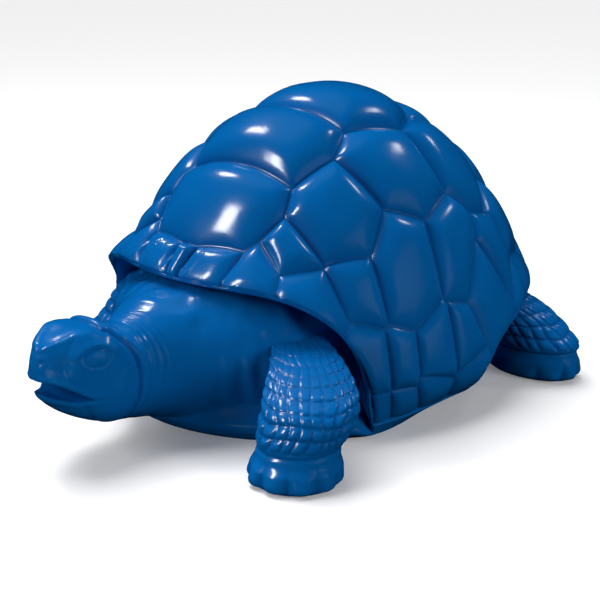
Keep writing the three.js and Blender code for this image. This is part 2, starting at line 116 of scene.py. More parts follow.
def ease_through(at: np.ndarray, marks: np.ndarray, values: np.ndarray) -> np.ndarray:
    """Cubic curve through values at marks that never overshoots between two of them.

    The slope at a mark is the harmonic mean of the slopes on both sides where they
    have one sign, and zero where they don't.

    Args:
        at: Places to read, any shape.
        marks: Rising places of the known values.
        values: Known values, one per mark, or one row per mark.

    Returns:
        The values at the places, with the row's own shape behind.
    """
    marks = np.asarray(marks, float)
    values = np.asarray(values, float)
    flat = values.reshape(len(marks), -1)
    step = np.diff(marks)[:, None]
    rise = np.diff(flat, axis=0) / step
    product, total = rise[1:] * rise[:-1], rise[1:] + rise[:-1]
    inner = np.where(product > 0, 2 * product / np.where(total == 0, 1, total), 0.0)
    slope = np.vstack([rise[:1], inner, rise[-1:]])
    at = np.asarray(at, float)
    i = np.clip(np.searchsorted(marks, at.ravel()) - 1, 0, len(marks) - 2)
    h = step[i]
    t = np.clip((at.ravel() - marks[i])[:, None] / h, 0, 1)
    out = (
        (2 * t**3 - 3 * t**2 + 1) * flat[i]
        + (t**3 - 2 * t**2 + t) * h * slope[i]
        + (3 * t**2 - 2 * t**3) * flat[i + 1]
        + (t**3 - t**2) * h * slope[i + 1]
    )
    return out.reshape(at.shape + values.shape[1:])


def ripple(points: np.ndarray, wave: float, seed: int, count: int = 8) -> np.ndarray:
    """Soft random swell in space, about -1 to 1: twice the mean of turned sine waves.

    Args:
        points: Points in millimetres, last axis x, y, z.
        wave: Mean wave length in millimetres.
        seed: Number that fixes the waves.
        count: Number of waves.

    Returns:
        One value per point.
    """
    draw = np.random.default_rng(seed)
    ways = draw.normal(size=(count, 3))
    ways /= np.linalg.norm(ways, axis=1, keepdims=True)
    rate = TURN / (wave * draw.uniform(0.7, 1.5, count))
    phase = draw.uniform(0, TURN, count)
    return np.sin(points @ (ways * rate[:, None]).T + phase).mean(axis=-1) * 2.0


def grid_normals(grid: np.ndarray) -> np.ndarray:
    """Unit normals of a grid of rings: along the rings crossed with across them.

    Args:
        grid: Points, rings by points of a closed ring by 3.

    Returns:
        Unit vectors of the same shape.
    """
    round_it = np.roll(grid, -1, axis=1) - np.roll(grid, 1, axis=1)
    along = np.gradient(grid, axis=0)
    normal = np.cross(round_it, along)
    return normal / np.maximum(np.linalg.norm(normal, axis=-1, keepdims=True), 1e-9)


def ring_quads(count: int, sides: int, inward: bool = False) -> list[list[int]]:
    """Quads between closed rings whose points are counted ring by ring.

    Args:
        count: Number of rings.
        sides: Number of points of a ring.
        inward: Whether the quads look the other way.

    Returns:
        Four point numbers for each quad.
    """
    index = np.arange(count * sides).reshape(count, sides)
    turned = np.roll(index, -1, axis=1)
    a, b = (turned, index) if inward else (index, turned)
    return np.stack([a[:-1], b[:-1], b[1:], a[1:]], -1).reshape(-1, 4).tolist()


# --- From arrays to a piece --------------------------------------------------------


@dataclass
class Skin:
    """Closed skin as arrays: points in millimetres, faces and a groove value a point."""

    points: np.ndarray
    faces: list
    groove: np.ndarray

    @classmethod
    def from_rings(cls, rings: np.ndarray, groove: np.ndarray) -> "Skin":
        """Closed tube: quads between rings, and a fan to a pole in each end ring.

        Args:
            rings: Points, rings by points of a closed ring by 3.
            groove: One value per point of the rings.

        Returns:
            The skin with two poles added.
        """
        count, sides = rings.shape[:2]
        here = np.arange(sides)
        there = np.roll(here, -1)
        first_pole, last_pole, last_ring = count * sides, count * sides + 1, (count - 1) * sides
        start = np.stack([np.full(sides, first_pole), there, here], -1)
        end = np.stack([np.full(sides, last_pole), here + last_ring, there + last_ring], -1)
        points = np.vstack([rings.reshape(-1, 3), rings[0].mean(0), rings[-1].mean(0)])
        values = np.concatenate([groove.ravel(), [0.0, 0.0]])
        return cls(points, ring_quads(count, sides) + start.tolist() + end.tolist(), values)

    def joined(self, other: "Skin") -> "Skin":
        """Both skins in one set of arrays.

        Args:
            other: Skin whose points follow this one's.

        Returns:
            The joint skin, with the seam not yet welded.
        """
        shift = len(self.points)
        moved = [[i + shift for i in face] for face in other.faces]
        points = np.vstack([self.points, other.points])
        return Skin(points, self.faces + moved, np.concatenate([self.groove, other.groove]))

    def to_object(self, name: str) -> bpy.types.Object:
        """Mesh object at the origin, welded, facing outwards and smooth shaded.

        Args:
            name: Name of the piece.

        Returns:
            The new object, linked to the scene.
        """
        mesh = bpy.data.meshes.new(name)
        mesh.from_pydata(((self.points + CENTRE_SHIFT) * MM).tolist(), [], self.faces)
        # The groove value darkens furrows and the open mouth as painted shade, and dulls them
        tint = mesh.attributes.new("groove", "FLOAT", "POINT")
        tint.data.foreach_set("value", self.groove.astype(np.float32))
        weld(mesh)
        mesh.polygons.foreach_set("use_smooth", np.ones(len(mesh.polygons), bool))
        mesh.update()
        piece = bpy.data.objects.new(name, mesh)
        bpy.context.collection.objects.link(piece)
        return piece


def weld(mesh: bpy.types.Mesh, reach_mm: float = WELD_MM) -> None:
    """Welds points that fall together, fills pinholes, and turns faces outwards.

    Args:
        mesh: Mesh to mend.
        reach_mm: Points closer than this become one.
    """
    work = bmesh.new()
    work.from_mesh(mesh)
    bmesh.ops.remove_doubles(work, verts=work.verts, dist=reach_mm * MM)
    bmesh.ops.dissolve_degenerate(work, edges=work.edges, dist=reach_mm * MM)
    bmesh.ops.holes_fill(work, edges=work.edges, sides=0)
    if work.calc_volume(signed=True) < 0:
        bmesh.ops.reverse_faces(work, faces=work.faces)
    work.to_mesh(mesh)
    work.free()


def dress(piece: bpy.types.Object, finish: bpy.types.Material) -> bpy.types.Object:
    """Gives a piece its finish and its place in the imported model, and reports it.

    Args:
        piece: Mesh object at the origin.
        finish: Material for the whole piece.

    Returns:
        The same object.
    """
    piece.data.materials.clear()
    piece.data.materials.append(finish)
    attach(piece, BODY)
    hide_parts(NODE)
    piece.data.calc_loop_triangles()
    log.info("%s: %d triangles", piece.name, len(piece.data.loop_triangles))
    return piece


# --- Shell -------------------------------------------------------------------------


@dataclass(frozen=True)
class ShellForm:
    """Smooth form of the shell: part of an ellipsoid, drawn in under a belt line.

    Sizes and heights are in millimetres. An azimuth is in degrees from the head. An arch
    raises the rim over the neck and front legs, and another over the hind legs and tail.
    """

    half_width: float = 382.0
    half_length: float = 450.0
    top: float = 486.0
    dome_half_height: float = 664.0
    centre_y: float = 53.0
    belt: float = 90.0
    tuck: float = 0.24
    shoulder_tuck: float = 0.05
    shoulder_end: float = 50.0
    shoulder_run: float = 36.0
    hip_tuck: float = 0.19
    hip_start: float = 95.0
    hip_run: float = 25.0
    tuck_power: float = 2.2
    bridge: float = 22.0
    side_azimuth: float = 75.0
    front_rim: float = 238.0
    front_arch: float = 57.0
    front_power: float = 4.6
    front_root: float = 0.5
    rear_rim: float = 155.0
    rear_arch: float = 91.0
    rear_power: float = 3.0
    rear_root: float = 0.25
    front_flare: float = 28.0
    front_flare_end: float = 56.0
    front_flare_run: float = 14.0
    neck_flare_share: float = 0.55
    rear_flare: float = 3.0
    flare_band: float = 110.0
    map_step: float = 2.0

    @property
    def dome_z(self) -> float:
        """Height of the ellipsoid's centre."""
        return self.top - self.dome_half_height

    @property
    def mean_half(self) -> float:
        """Mean of the two half sizes, the scale of the flat map."""
        return (self.half_width + self.half_length) / 2

    @property
    def map_scale(self) -> np.ndarray:
        """Stretch of the flat map across and along."""
        return np.array([self.half_width, self.half_length]) / self.mean_half

    def drawn_in(self, tuck: Values, height: Values) -> Values:
        """Share left at a height: 1 minus tuck times the share of the belt passed, to a power."""
        down = np.clip((self.belt - height) / self.belt, 0, 1)
        return 1 - tuck * down**self.tuck_power

    def tuck_at(self, azimuth: Values) -> Values:
        """Draw of the wall: least behind the front leg, most at mid side.

        Args:
            azimuth: Degrees from the head.

        Returns:
            The share drawn in at the floor.
        """
        side = np.abs(azimuth)
        ahead = mix(self.shoulder_tuck, self.tuck, past(side, self.shoulder_end, self.shoulder_run))
        return mix(ahead, self.hip_tuck, past(side, self.hip_start, self.hip_run))

    @cached_property
    def meridian(self) -> np.ndarray:
        """Side view of the shell from crown to floor, with the tuck of mid side.

        Returns:
            Rows of arc length, share of the half sizes, and height.
        """
        belt_angle = math.acos((self.belt - self.dome_z) / self.dome_half_height)
        angle = np.linspace(0, belt_angle, 81)
        z = self.dome_z + self.dome_half_height * np.cos(angle)
        low = self.belt * (1 - np.arange(1, 31) / 30)
        dome_share = math.sin(belt_angle) * self.drawn_in(self.tuck, low)
        share = np.concatenate([np.sin(angle), dome_share])
        z = np.concatenate([z, low])
        step = np.hypot(np.diff(share) * self.mean_half, np.diff(z))
        return np.stack([np.concatenate([[0], np.cumsum(step)]), share, z])

    def run_at_height(self, height: Values) -> Values:
        """Arc length from the crown at a height."""
        run, _, z = self.meridian
        return np.interp(-np.asarray(height, float), -z, run)

    def height_at(self, run: Values) -> Values:
        """Height at an arc length from the crown."""
        return np.interp(run, self.meridian[0], self.meridian[2])

    def share_at(self, azimuth: Values, run: Values) -> Values:
        """Share of the half sizes at a place, with the tuck of its azimuth.

        Args:
            azimuth: Degrees from the head.
            run: Arc length from the crown.

        Returns:
            Share of the shell's half width and half length.
        """
        share = np.interp(run, self.meridian[0], self.meridian[1])
        z = self.height_at(run)
        return share / self.drawn_in(self.tuck, z) * self.drawn_in(self.tuck_at(azimuth), z)

    def arch_strength(self, azimuth: Values) -> Values:
        """How far the rim is raised: 1 minus the angle's share to a power, rooted.

        Args:
            azimuth: Degrees from the head.

        Returns:
            From 0 on the plain side to 1 at the top of an arch.
        """
        side = np.abs(azimuth)
        back = 180 - side
        front = np.maximum(0, 1 - (side / self.front_arch) ** self.front_power) ** self.front_root
        rear_way = np.abs(back) / self.rear_arch
        rear = np.maximum(0, 1 - rear_way**self.rear_power) ** self.rear_root
        return np.where(side < self.front_arch, front, np.where(back < self.rear_arch, rear, 0))

    def rim_height(self, azimuth: Values) -> Values:
        """Height of the shell's lower edge round the animal."""
        top = np.where(np.abs(azimuth) < self.side_azimuth, self.front_rim, self.rear_rim)
        return mix(self.bridge, top, self.arch_strength(azimuth))

    def flare_at(self, azimuth: Values, run: Values) -> Values:
        """Outward turn of the rim: its reach grows with the square of the way down to it.

        The front rim turns out less over the neck than over the shoulders.

        Args:
            azimuth: Degrees from the head.
            run: Arc length from the crown.

        Returns:
            The turn outwards in millimetres.
        """
        side = np.abs(azimuth)
        gap = self.run_at_height(self.rim_height(azimuth)) - run
        reach = np.clip(1 - gap / self.flare_band, 0, 1) ** 2
        front = self.front_flare * mix(self.neck_flare_share, 1, np.sin(2 * side * DEGREE) ** 2)
        front = front * before(side, self.front_flare_end, self.front_flare_run)
        rear = self.rear_flare * past(side, self.hip_start, self.hip_run)
        return np.where(side < self.side_azimuth, front, rear) * reach

    def azimuth_of(self, xy: np.ndarray) -> np.ndarray:
        """Azimuth in degrees from the head of points in the flat map."""
        flat = xy / self.map_scale
        return np.arctan2(flat[..., 0], -flat[..., 1]) / DEGREE

    def to_map(self, azimuth: Values, run: Values) -> np.ndarray:
        """Flat map: arc length from the crown, laid off along the azimuth."""
        a = np.asarray(azimuth) * DEGREE
        return np.stack([run * np.sin(a), -run * np.cos(a)], -1) * self.map_scale

    def place(self, azimuth: Values, share: Values, out: Values, z: Values) -> np.ndarray:
        """Points on ellipses round the shell's axis.

        Args:
            azimuth: Degrees from the head.
            share: Share of the shell's half width and half length.
            out: Further way outwards in millimetres.
            z: Height.

        Returns:
            The points, last axis x, y, z.
        """
        a = np.asarray(azimuth) * DEGREE
        x = (self.half_width * share + out) * np.sin(a)
        y = self.centre_y - (self.half_length * share + out) * np.cos(a)
        return np.stack([x, y, np.broadcast_to(z, np.shape(x))], -1)

    def point(self, xy: np.ndarray) -> np.ndarray:
        """Points of the smooth shell that belong to points of the flat map.

        Args:
            xy: Points of the flat map.

        Returns:
            The points in space.
        """
        azimuth = self.azimuth_of(xy)
        run = np.linalg.norm(xy / self.map_scale, axis=-1)
        share, out = self.share_at(azimuth, run), self.flare_at(azimuth, run)
        return self.place(azimuth, share, out, self.height_at(run))

    def normal(self, xy: np.ndarray) -> np.ndarray:
        """Outward unit normals, from points one map step to each side.

        Args:
            xy: Points of the flat map.

        Returns:
            Unit vectors, one per point.
        """
        across = self.point(xy + [self.map_step, 0]) - self.point(xy - [self.map_step, 0])
        along = self.point(xy + [0, self.map_step]) - self.point(xy - [0, self.map_step])
        normal = np.cross(across, along)
        return normal / np.linalg.norm(normal, axis=-1, keepdims=True)

    @cached_property
    def rim_table(self) -> tuple[np.ndarray, np.ndarray]:
        """Rim in the flat map, once round from the head, in steps of an eighth degree.

        Returns:
            The length round the rim at each step, and the points.
        """
        azimuth = np.arange(0, 1441) / 8
        side = self.to_map(azimuth, self.run_at_height(self.rim_height(azimuth)))
        side[[0, -1], 0] = 0
        loop = np.vstack([side, side[-2::-1] * [-1, 1]])
        length = np.linalg.norm(np.diff(loop, axis=0), axis=1)
        return np.concatenate([[0], np.cumsum(length)]), loop

    def rim_at(self, length: Values) -> np.ndarray:
        """Points of the rim in the flat map.

        Args:
            length: Lengths round the rim from the head.

        Returns:
            The points, last axis x, y.
        """
        lengths, loop = self.rim_table
        at = np.mod(length, lengths[-1])
        return np.stack([np.interp(at, lengths, way) for way in loop.T], -1)


# Scute seeds in rows: azimuth from the head in degrees, then distance from the crown
# and reach, both in thousandths of the way from the crown to the floor
SCUTE_ROWS = {
    "vertebral": [[0, 397, 206], [0, 218, 214], [0, 14, 211], [180, 282, 139], [180, 505, 153]],
    "shoulder": [[35.1, 571, 119]],
    "upper_costal": [[51.9, 437, 145], [74.7, 336, 148], [113.3, 343, 98], [154.2, 459, 122]],
    "lower_costal": [
        [54.3, 559, 105], [69.6, 552, 140], [88.1, 594, 138],
        [103.2, 703, 155], [128.4, 625, 122], [152.6, 621, 145],
    ],
    "front_marginal": [[0, 533, 155], [4.8, 540, 153], [28.5, 630, 146], [37.3, 647, 147]],
    "side_marginal": [[54.2, 766, 57], [66.5, 781, 28], [78.7, 822, 155], [85.3, 839, 184]],
    "rear_marginal": [
        [97, 761, 196], [106.7, 766, 152], [125.8, 722, 139],
        [143.6, 713, 156], [154.9, 719, 147], [173.7, 723, 136],
    ],
    "skirt": [[56.6, 957, 108], [66.9, 958, 106], [77.9, 899, 163], [85.8, 875, 193]],
}


@dataclass
class Shell:
    """Shell with its bubbled scutes, the wall under its rim and the belly, one skin.

    A scute swells as a dome between grooves, deepest on the crown. Flutes are the soft
    folds of the front band over the neck, each with a low ridge beside it. The rim rolls
    over into the wall, which goes in by a recess before it comes down to the floor.
    """

    form: ShellForm = ShellForm()
    top_groove: float = 24.0
    low_groove: float = 9.0
    dome: float = 0.84
    groove_power: int = 7
    # Power that narrows the painted shade and dullness to the groove bottoms
    dull_and_shade_power: int = 9
    swell: float = 0.35
    swell_wave: float = 60.0
    rim_share: float = 0.55
    rim_fade: float = 60.0
    rim_roll: float = 6.0
    rim_roll_width: float = 15.0
    rim_samples: int = 500
    coarse_rim: int = 104
    weld: float = 7.0
    edge_step: float = 5.5
    rings: int = 13
    ring_ease: float = 1.35
    touch: float = 0.8
    flute_azimuths: tuple[float, ...] = (-37.0, -30.0, -22.0, -14.0, -5.4, 4.4)
    flute_slant: float = 0.05
    flute_depth: float = 2.6
    flute_width: float = 3.6
    ridge_share: float = 0.55
    ridge_aside: float = 9.0
    ridge_width: float = 6.0
    wall_rows: int = 34
    arch_spread: float = 1.6
    lip: float = 13.0
    front_recess: float = 0.17
    rear_recess: float = 0.12
    front_wall: float = 0.72
    chest: float = 0.89
    rear_wall: float = 0.66
    rump: float = 0.62
    sole_step: float = 0.04
    belly_rings: int = 8

    @cached_property
    def seeds(self) -> np.ndarray:
        """Seeds of all scutes in the flat map, the right side mirrored from the left.

        Returns:
            One row a seed: x, y and reach squared.
        """
        unit = self.form.meridian[0, -1] / 1000
        rows = np.array([row for rows in SCUTE_ROWS.values() for row in rows], float)
        xy = self.form.to_map(rows[:, 0], rows[:, 1] * unit)
        middle = (rows[:, 0] == 0) | (rows[:, 0] == 180)
        xy[middle, 0] = 0
        left = np.column_stack([xy, (rows[:, 2] * unit) ** 2])
        return np.vstack([left, left[~middle] * [-1, 1, 1]])

    @staticmethod
    def clip(polygon: np.ndarray, own: np.ndarray, other: np.ndarray) -> np.ndarray:
        """Part of a polygon that lies nearer, in power distance, to its own seed.

        Args:
            polygon: Corners in the flat map.
            own: Seed of the polygon, as x, y and reach squared.
            other: Seed on the other side of the cut.

        Returns:
            The corners that are left.
        """
        normal = 2 * (other[:2] - own[:2])
        limit = other[:2] @ other[:2] - other[2] - own[:2] @ own[:2] + own[2]
        here = polygon @ normal - limit
        there = np.roll(here, -1)
        crosses = (here < 0) != (there < 0)
        t = np.where(crosses, here / np.where(here == there, 1, here - there), 0)
        cut = mix(polygon, np.roll(polygon, -1, axis=0), t[:, None])
        both = np.stack([polygon, cut], 1).reshape(-1, 2)
        return both[np.stack([here <= 0, crosses], 1).ravel()]

    def rim_length_of(self, point: np.ndarray, rim: np.ndarray, step: float) -> float | None:
        """Length round the rim of a point that lies on the coarse rim.

        Args:
            point: Point of the flat map.
            rim: Corners of the coarse rim.
            step: Length round the rim between two corners.

        Returns:
            The length, or None for a point off the rim.
        """
        ahead = np.roll(rim, -1, axis=0) - rim
        run = np.linalg.norm(ahead, axis=1)
        off = point - rim
        along = (off * ahead).sum(1) / run
        aside = (off[:, 0] * ahead[:, 1] - off[:, 1] * ahead[:, 0]) / run
        hit = (np.abs(aside) < 1e-3) & (along > -1e-3) & (along < run + 1e-3)
        if not hit.any():
            return None
        i = int(np.argmax(hit))
        return (i + float(np.clip(along[i] / run[i], 0, 1))) * step

    def cells(self) -> list[tuple[int, np.ndarray, np.ndarray]]:
        """Scute cells with borders in short steps.

        Each seed keeps the ground where its power distance, the squared distance less
        its squared reach, is least. Corners closer than the weld length become one.

        Returns:
            For each cell its seed's index, its border points in the flat map, and the
            length round the rim of each border point, not a number off the rim.
        """
        total = self.form.rim_table[0][-1]
        step = total / self.coarse_rim
        rim = self.form.rim_at(np.arange(self.coarse_rim) * step)
        raw = []
        for i, own in enumerate(self.seeds):
            polygon = rim
            for j, other in enumerate(self.seeds):
                if i != j and len(polygon) > 2:
                    polygon = self.clip(polygon, own, other)
            raw.append(polygon)
        known, lengths = [*rim], [k * step for k in range(self.coarse_rim)]

        def find(point: np.ndarray) -> int | None:
            """Number of the first known point within the weld length, or None."""
            hit = np.nonzero(np.linalg.norm(np.array(known) - point, axis=1) < self.weld)[0]
            return int(hit[0]) if len(hit) else None

        on_rim = [[self.rim_length_of(p, rim, step) for p in polygon] for polygon in raw]
        for wanted in (True, False):
            for polygon, marks in zip(raw, on_rim):
                for point, mark in zip(polygon, marks):
                    if (mark is not None) == wanted and find(point) is None:
                        known.append(point)
                        lengths.append(math.nan if mark is None else mark)
        known, lengths = np.array(known), np.array(lengths)
        edge = ~np.isnan(lengths)
        known[edge] = self.form.rim_at(lengths[edge])
        cells = []
        for i, polygon in enumerate(raw):
            corners = [find(point) for point in polygon]
            corners = [c for k, c in enumerate(corners) if c != corners[(k + 1) % len(corners)]]
            if len(corners) > 2:
                border, marks = self.fine_border(corners, known, lengths, total)
                cells.append((i, border, marks))
        return cells

    def fine_border(
        self, corners: list[int], known: np.ndarray, lengths: np.ndarray, total: float
    ) -> tuple[np.ndarray, np.ndarray]:
        """Border of a cell in short steps: straight inside, along the curve on the rim.

        Args:
            corners: Numbers of the cell's corners, once round.
            known: All corners in the flat map.
            lengths: Length round the rim of each corner, not a number off the rim.
            total: Length of the whole rim.

        Returns:
            The border points, and the length round the rim of each.
        """
        points, marks = [], []
        for a, b in zip(corners, corners[1:] + corners[:1]):
            low, high = min(a, b), max(a, b)
            if not (math.isnan(lengths[a]) or math.isnan(lengths[b])):
                way = (lengths[high] - lengths[low] + total / 2) % total - total / 2
                count = max(1, round(abs(way) / self.edge_step))
                at = lengths[low] + way * np.arange(count + 1) / count
                piece, mark = self.form.rim_at(at), np.mod(at, total)
            else:
                gap = np.linalg.norm(known[high] - known[low])
                count = max(1, round(gap / self.edge_step))
                piece = mix(known[low], known[high], np.linspace(0, 1, count + 1)[:, None])
                mark = np.full(count + 1, math.nan)
                mark[[0, -1]] = lengths[[low, high]]
            if a != low:
                piece, mark = piece[::-1], mark[::-1]
            points.append(piece[:-1])
            marks.append(mark[:-1])
        return np.vstack(points), np.concatenate(marks)

    def border_distance(self, xy: np.ndarray, seed: int) -> np.ndarray:
        """Rounded distance to a cell's borders in the flat map.

        The distance to each border is half the difference of the two power distances
        over the seeds' spacing. All are joined by the fourth-power harmonic mean, which
        is zero on a border and has no crease where two borders are equally near.

        Args:
            xy: Points of the flat map.
            seed: Index of the cell's seed.

        Returns:
            One distance per point.
        """
        spread = xy[..., None, :] - self.seeds[:, :2]
        power = (spread**2).sum(-1) - self.seeds[:, 2]
        gap = np.linalg.norm(self.seeds[:, :2] - self.seeds[seed, :2], axis=1)
        others = np.arange(len(self.seeds)) != seed
        distance = (power[..., others] - power[..., [seed]]) / (2 * gap[others])
        return (np.maximum(distance, 1e-4) ** -4).sum(-1) ** -0.25

    def shrunk_rings(self, border: np.ndarray) -> np.ndarray:
        """Rings of a scute: its border, drawn step by step to the middle of its area.

        Args:
            border: Border points in the flat map.

        Returns:
            Points of the flat map, rings by border points by 2.
        """
        ahead = np.roll(border, -1, axis=0)
        cross = border[:, 0] * ahead[:, 1] - ahead[:, 0] * border[:, 1]
        centre = ((border + ahead) * cross[:, None]).sum(0) / (3 * cross.sum())
        scale = 1 - (np.arange(self.rings + 1) / self.rings) ** self.ring_ease
        return mix(centre, border[None], scale[:, None, None])

    def rim_distance(self, xy: np.ndarray, marks: np.ndarray) -> np.ndarray:
        """Distance to the rim in the flat map.

        Args:
            xy: Rings of a scute, its border first.
            marks: Length round the rim of each border point, not a number off the rim.

        Returns:
            One distance per point.
        """
        total = self.form.rim_table[0][-1]
        rim = self.form.rim_at(np.linspace(0, total, self.rim_samples, endpoint=False))
        away = [np.linalg.norm(ring[:, None] - rim[None], axis=-1).min(1) for ring in xy]
        away[0][~np.isnan(marks)] = 0
        return np.stack(away)

    def scute(self, seed: int, border: np.ndarray, marks: np.ndarray) -> tuple[Skin, np.ndarray]:
        """One scute: rings that shrink from its border to its middle, then sunk.

        The depth below the smooth shell is a low dome, the square of the nearness to
        the border, plus a crisp groove, its seventh power. Near the rim the groove grows
        shallow and a quarter round turns the edge down; low on the sides all grooves
        are shallower. The bottom of a groove is marked for painted shade, darker and duller.

        Args:
            seed: Index of the scute's seed.
            border: Border points in the flat map.
            marks: Length round the rim of each border point, not a number off the rim.

        Returns:
            The scute's skin, and its border points in space.
        """
        form = self.form
        xy = self.shrunk_rings(border)
        away = self.border_distance(xy, seed)
        away[0, np.isnan(marks) | self.touches_other(border, seed)] = 0
        close = 1 - np.clip(away / away.max(), 0, 1)
        to_rim = self.rim_distance(xy, marks)
        fade = mix(self.rim_share, 1.0, smooth(to_rim / self.rim_fade))
        turn = 1 - np.clip(to_rim / self.rim_roll_width, 0, 1)
        roll = self.rim_roll * (1 - np.sqrt(1 - turn**2)) + self.flutes(xy)
        height = form.height_at(np.linalg.norm(xy / form.map_scale, axis=-1))
        level = (height - form.belt) / (form.top - form.belt)
        deep = mix(self.low_groove, self.top_groove, smooth(level)) * fade
        sunk = self.dome * close**2 + (1 - self.dome) * close**self.groove_power
        normal = form.normal(xy)
        points = form.point(xy) - normal * (deep * sunk + roll)[..., None]
        swell = self.swell * ripple(points, self.swell_wave, 3) * (1 - close)
        points += normal * swell[..., None]
        # Painted shade: groove bottoms are marked to be darker, and duller
        dull_and_shade = (close**self.dull_and_shade_power * fade).ravel()
        return Skin(points.reshape(-1, 3), ring_quads(*points.shape[:2]), dull_and_shade), points[0]

    def flutes(self, xy: np.ndarray) -> np.ndarray:
        """Depth of the soft folds over the neck: a bell at each line, a low ridge beside it.

        The lines start at the rim and lean over by the slant for each millimetre up.
        They fade to nothing at the rim and at the top of the front band.

        Args:
            xy: Points of the flat map.

        Returns:
            One depth per point.
        """
        azimuth = self.form.azimuth_of(xy)
        run = np.linalg.norm(xy / self.form.map_scale, axis=-1)
        up = self.form.run_at_height(self.form.rim_height(azimuth)) - run
        lines = np.array(self.flute_azimuths) + (self.flute_slant * up)[..., None]
        aside = (azimuth[..., None] - lines) * (run * DEGREE)[..., None]
        ridge = self.ridge_share * near(aside, self.ridge_aside, self.ridge_width)
        fold = (self.flute_depth * (bell(aside / self.flute_width) - ridge)).sum(-1)
        over_neck = before(np.abs(azimuth), 45, 6)
        return fold * over_neck * past(up, 3, 12) * before(up, 56, 16)

    def touches_other(self, border: np.ndarray, seed: int) -> np.ndarray:
        """True for border points where another scute is as near as their own."""
        return self.border_distance(border, seed) < self.touch

    def wall(self, rim: np.ndarray) -> Skin:
        """Wall below the rim: a rounded lip, a recess, the body's side, and the belly.

        The rows are given at a few levels as shares of the shell's half sizes, eased
        through, and faded to a plain tucked side where the rim comes down.

        Args:
            rim: Rim points in space, once round.

        Returns:
            The wall's skin with the flat belly.
        """
        form, lip = self.form, self.lip
        x, y = rim[:, 0] / form.half_width, (rim[:, 1] - form.centre_y) / form.half_length
        azimuth = np.arctan2(x, -y) / DEGREE
        front = np.abs(azimuth) < form.side_azimuth
        z = form.rim_height(azimuth)
        run = form.run_at_height(z)
        share, out = form.share_at(azimuth, run), form.flare_at(azimuth, run)
        recess = np.where(front, self.front_recess, self.rear_recess)
        wall = np.where(front, self.front_wall, self.rear_wall)
        foot = np.where(front, self.chest, self.rump)
        # Level down the wall, then the share, height and outward turn there
        arched = [
            (0.10, share - 0.0135, z - 0.56 * lip, out),
            (0.17, share - 0.022, z - 0.95 * lip, out),
            (0.22, share - 0.038, z - 1.0 * lip, 0.7 * out),
            (0.28, share - 0.06, z - 0.6 * lip, 0.5 * out),
            (0.42, share - recess, z + 4, 0 * out),
            (0.58, wall, 0.5 * z, 0 * out),
            (0.72, mix(wall, foot, 0.72), 0.26 * z, 0 * out),
            (0.88, foot, 0.1 * z, 0 * out),
            (1.0, foot - self.sole_step, 0 * z, 0 * out),
        ]
        spread = smooth(form.arch_strength(azimuth) * self.arch_spread)
        rows, levels = [rim], [0.0]
        for level, at_share, at_z, at_out in arched:
            height = form.bridge * (1 - level)
            plain = form.share_at(azimuth, form.run_at_height(height))
            in_share, in_z = mix(plain, at_share, spread), mix(height, at_z, spread)
            rows.append(form.place(azimuth, in_share, at_out * spread, in_z))
            levels.append(level)
        at = np.linspace(0, 1, self.wall_rows + 1)
        grid = ease_through(at, np.array(levels), np.stack(rows))
        middle = np.array([0, form.centre_y, 0.0])
        inwards = np.linspace(0, 1, self.belly_rings + 1)[1:, None, None]
        grid = np.concatenate([grid, mix(grid[-1], middle, inwards)])
        faces = ring_quads(*grid.shape[:2], inward=True)
        return Skin(grid.reshape(-1, 3), faces, np.zeros(grid[..., 0].size))

    def build(self) -> bpy.types.Object:
        """All scutes, the wall and the belly as one closed piece.

        Returns:
            The shell's object.
        """
        whole, rim_points, rim_marks = None, [], []
        for seed, border, marks in self.cells():
            skin, edge = self.scute(seed, border, marks)
            whole = skin if whole is None else whole.joined(skin)
            kept = ~np.isnan(marks)
            rim_points.append(edge[kept])
            rim_marks.append(marks[kept])
        marks = np.round(np.concatenate(rim_marks), 2)
        _, first = np.unique(marks, return_index=True)
        rim = np.vstack(rim_points)[first]
        return whole.joined(self.wall(rim)).to_object("shell")


# --- Head and neck -----------------------------------------------------------------

BEAK_Y = -571.0

# Stations: way back from the beak, half width, bottom and top heights, squareness
HEAD_STATIONS = np.array([
    [0, 7, 136, 156, 2],
    [4, 17, 122, 173, 2.2],
    [16, 32, 103, 190, 2.4],
    [36, 46, 84, 200, 2.7],
    [62, 56, 68, 207, 2.9],
    [94, 64, 54, 207, 2.7],
    [128, 66, 45, 192, 2.4],
    [158, 66, 38, 187, 2.2],
    [184, 76, 32, 194, 2.1],
    [214, 96, 23, 208, 2.1],
    [250, 130, 12, 214, 2.1],
    [300, 178, 5, 222, 2.2],
    [350, 205, 5, 224, 2.4],
    [430, 205, 20, 224, 2.4],
])

# Edges of the open mouth from the side: way back from the beak, then height
UPPER_LIP = np.array([[-34, 141], [-6, 140], [8, 138], [18, 134], [34, 124], [47, 115], [58, 108]])
LOWER_LIP = np.array([[-34, 119], [-6, 119], [4, 118], [14, 113], [25, 109], [41, 105], [58, 108]])


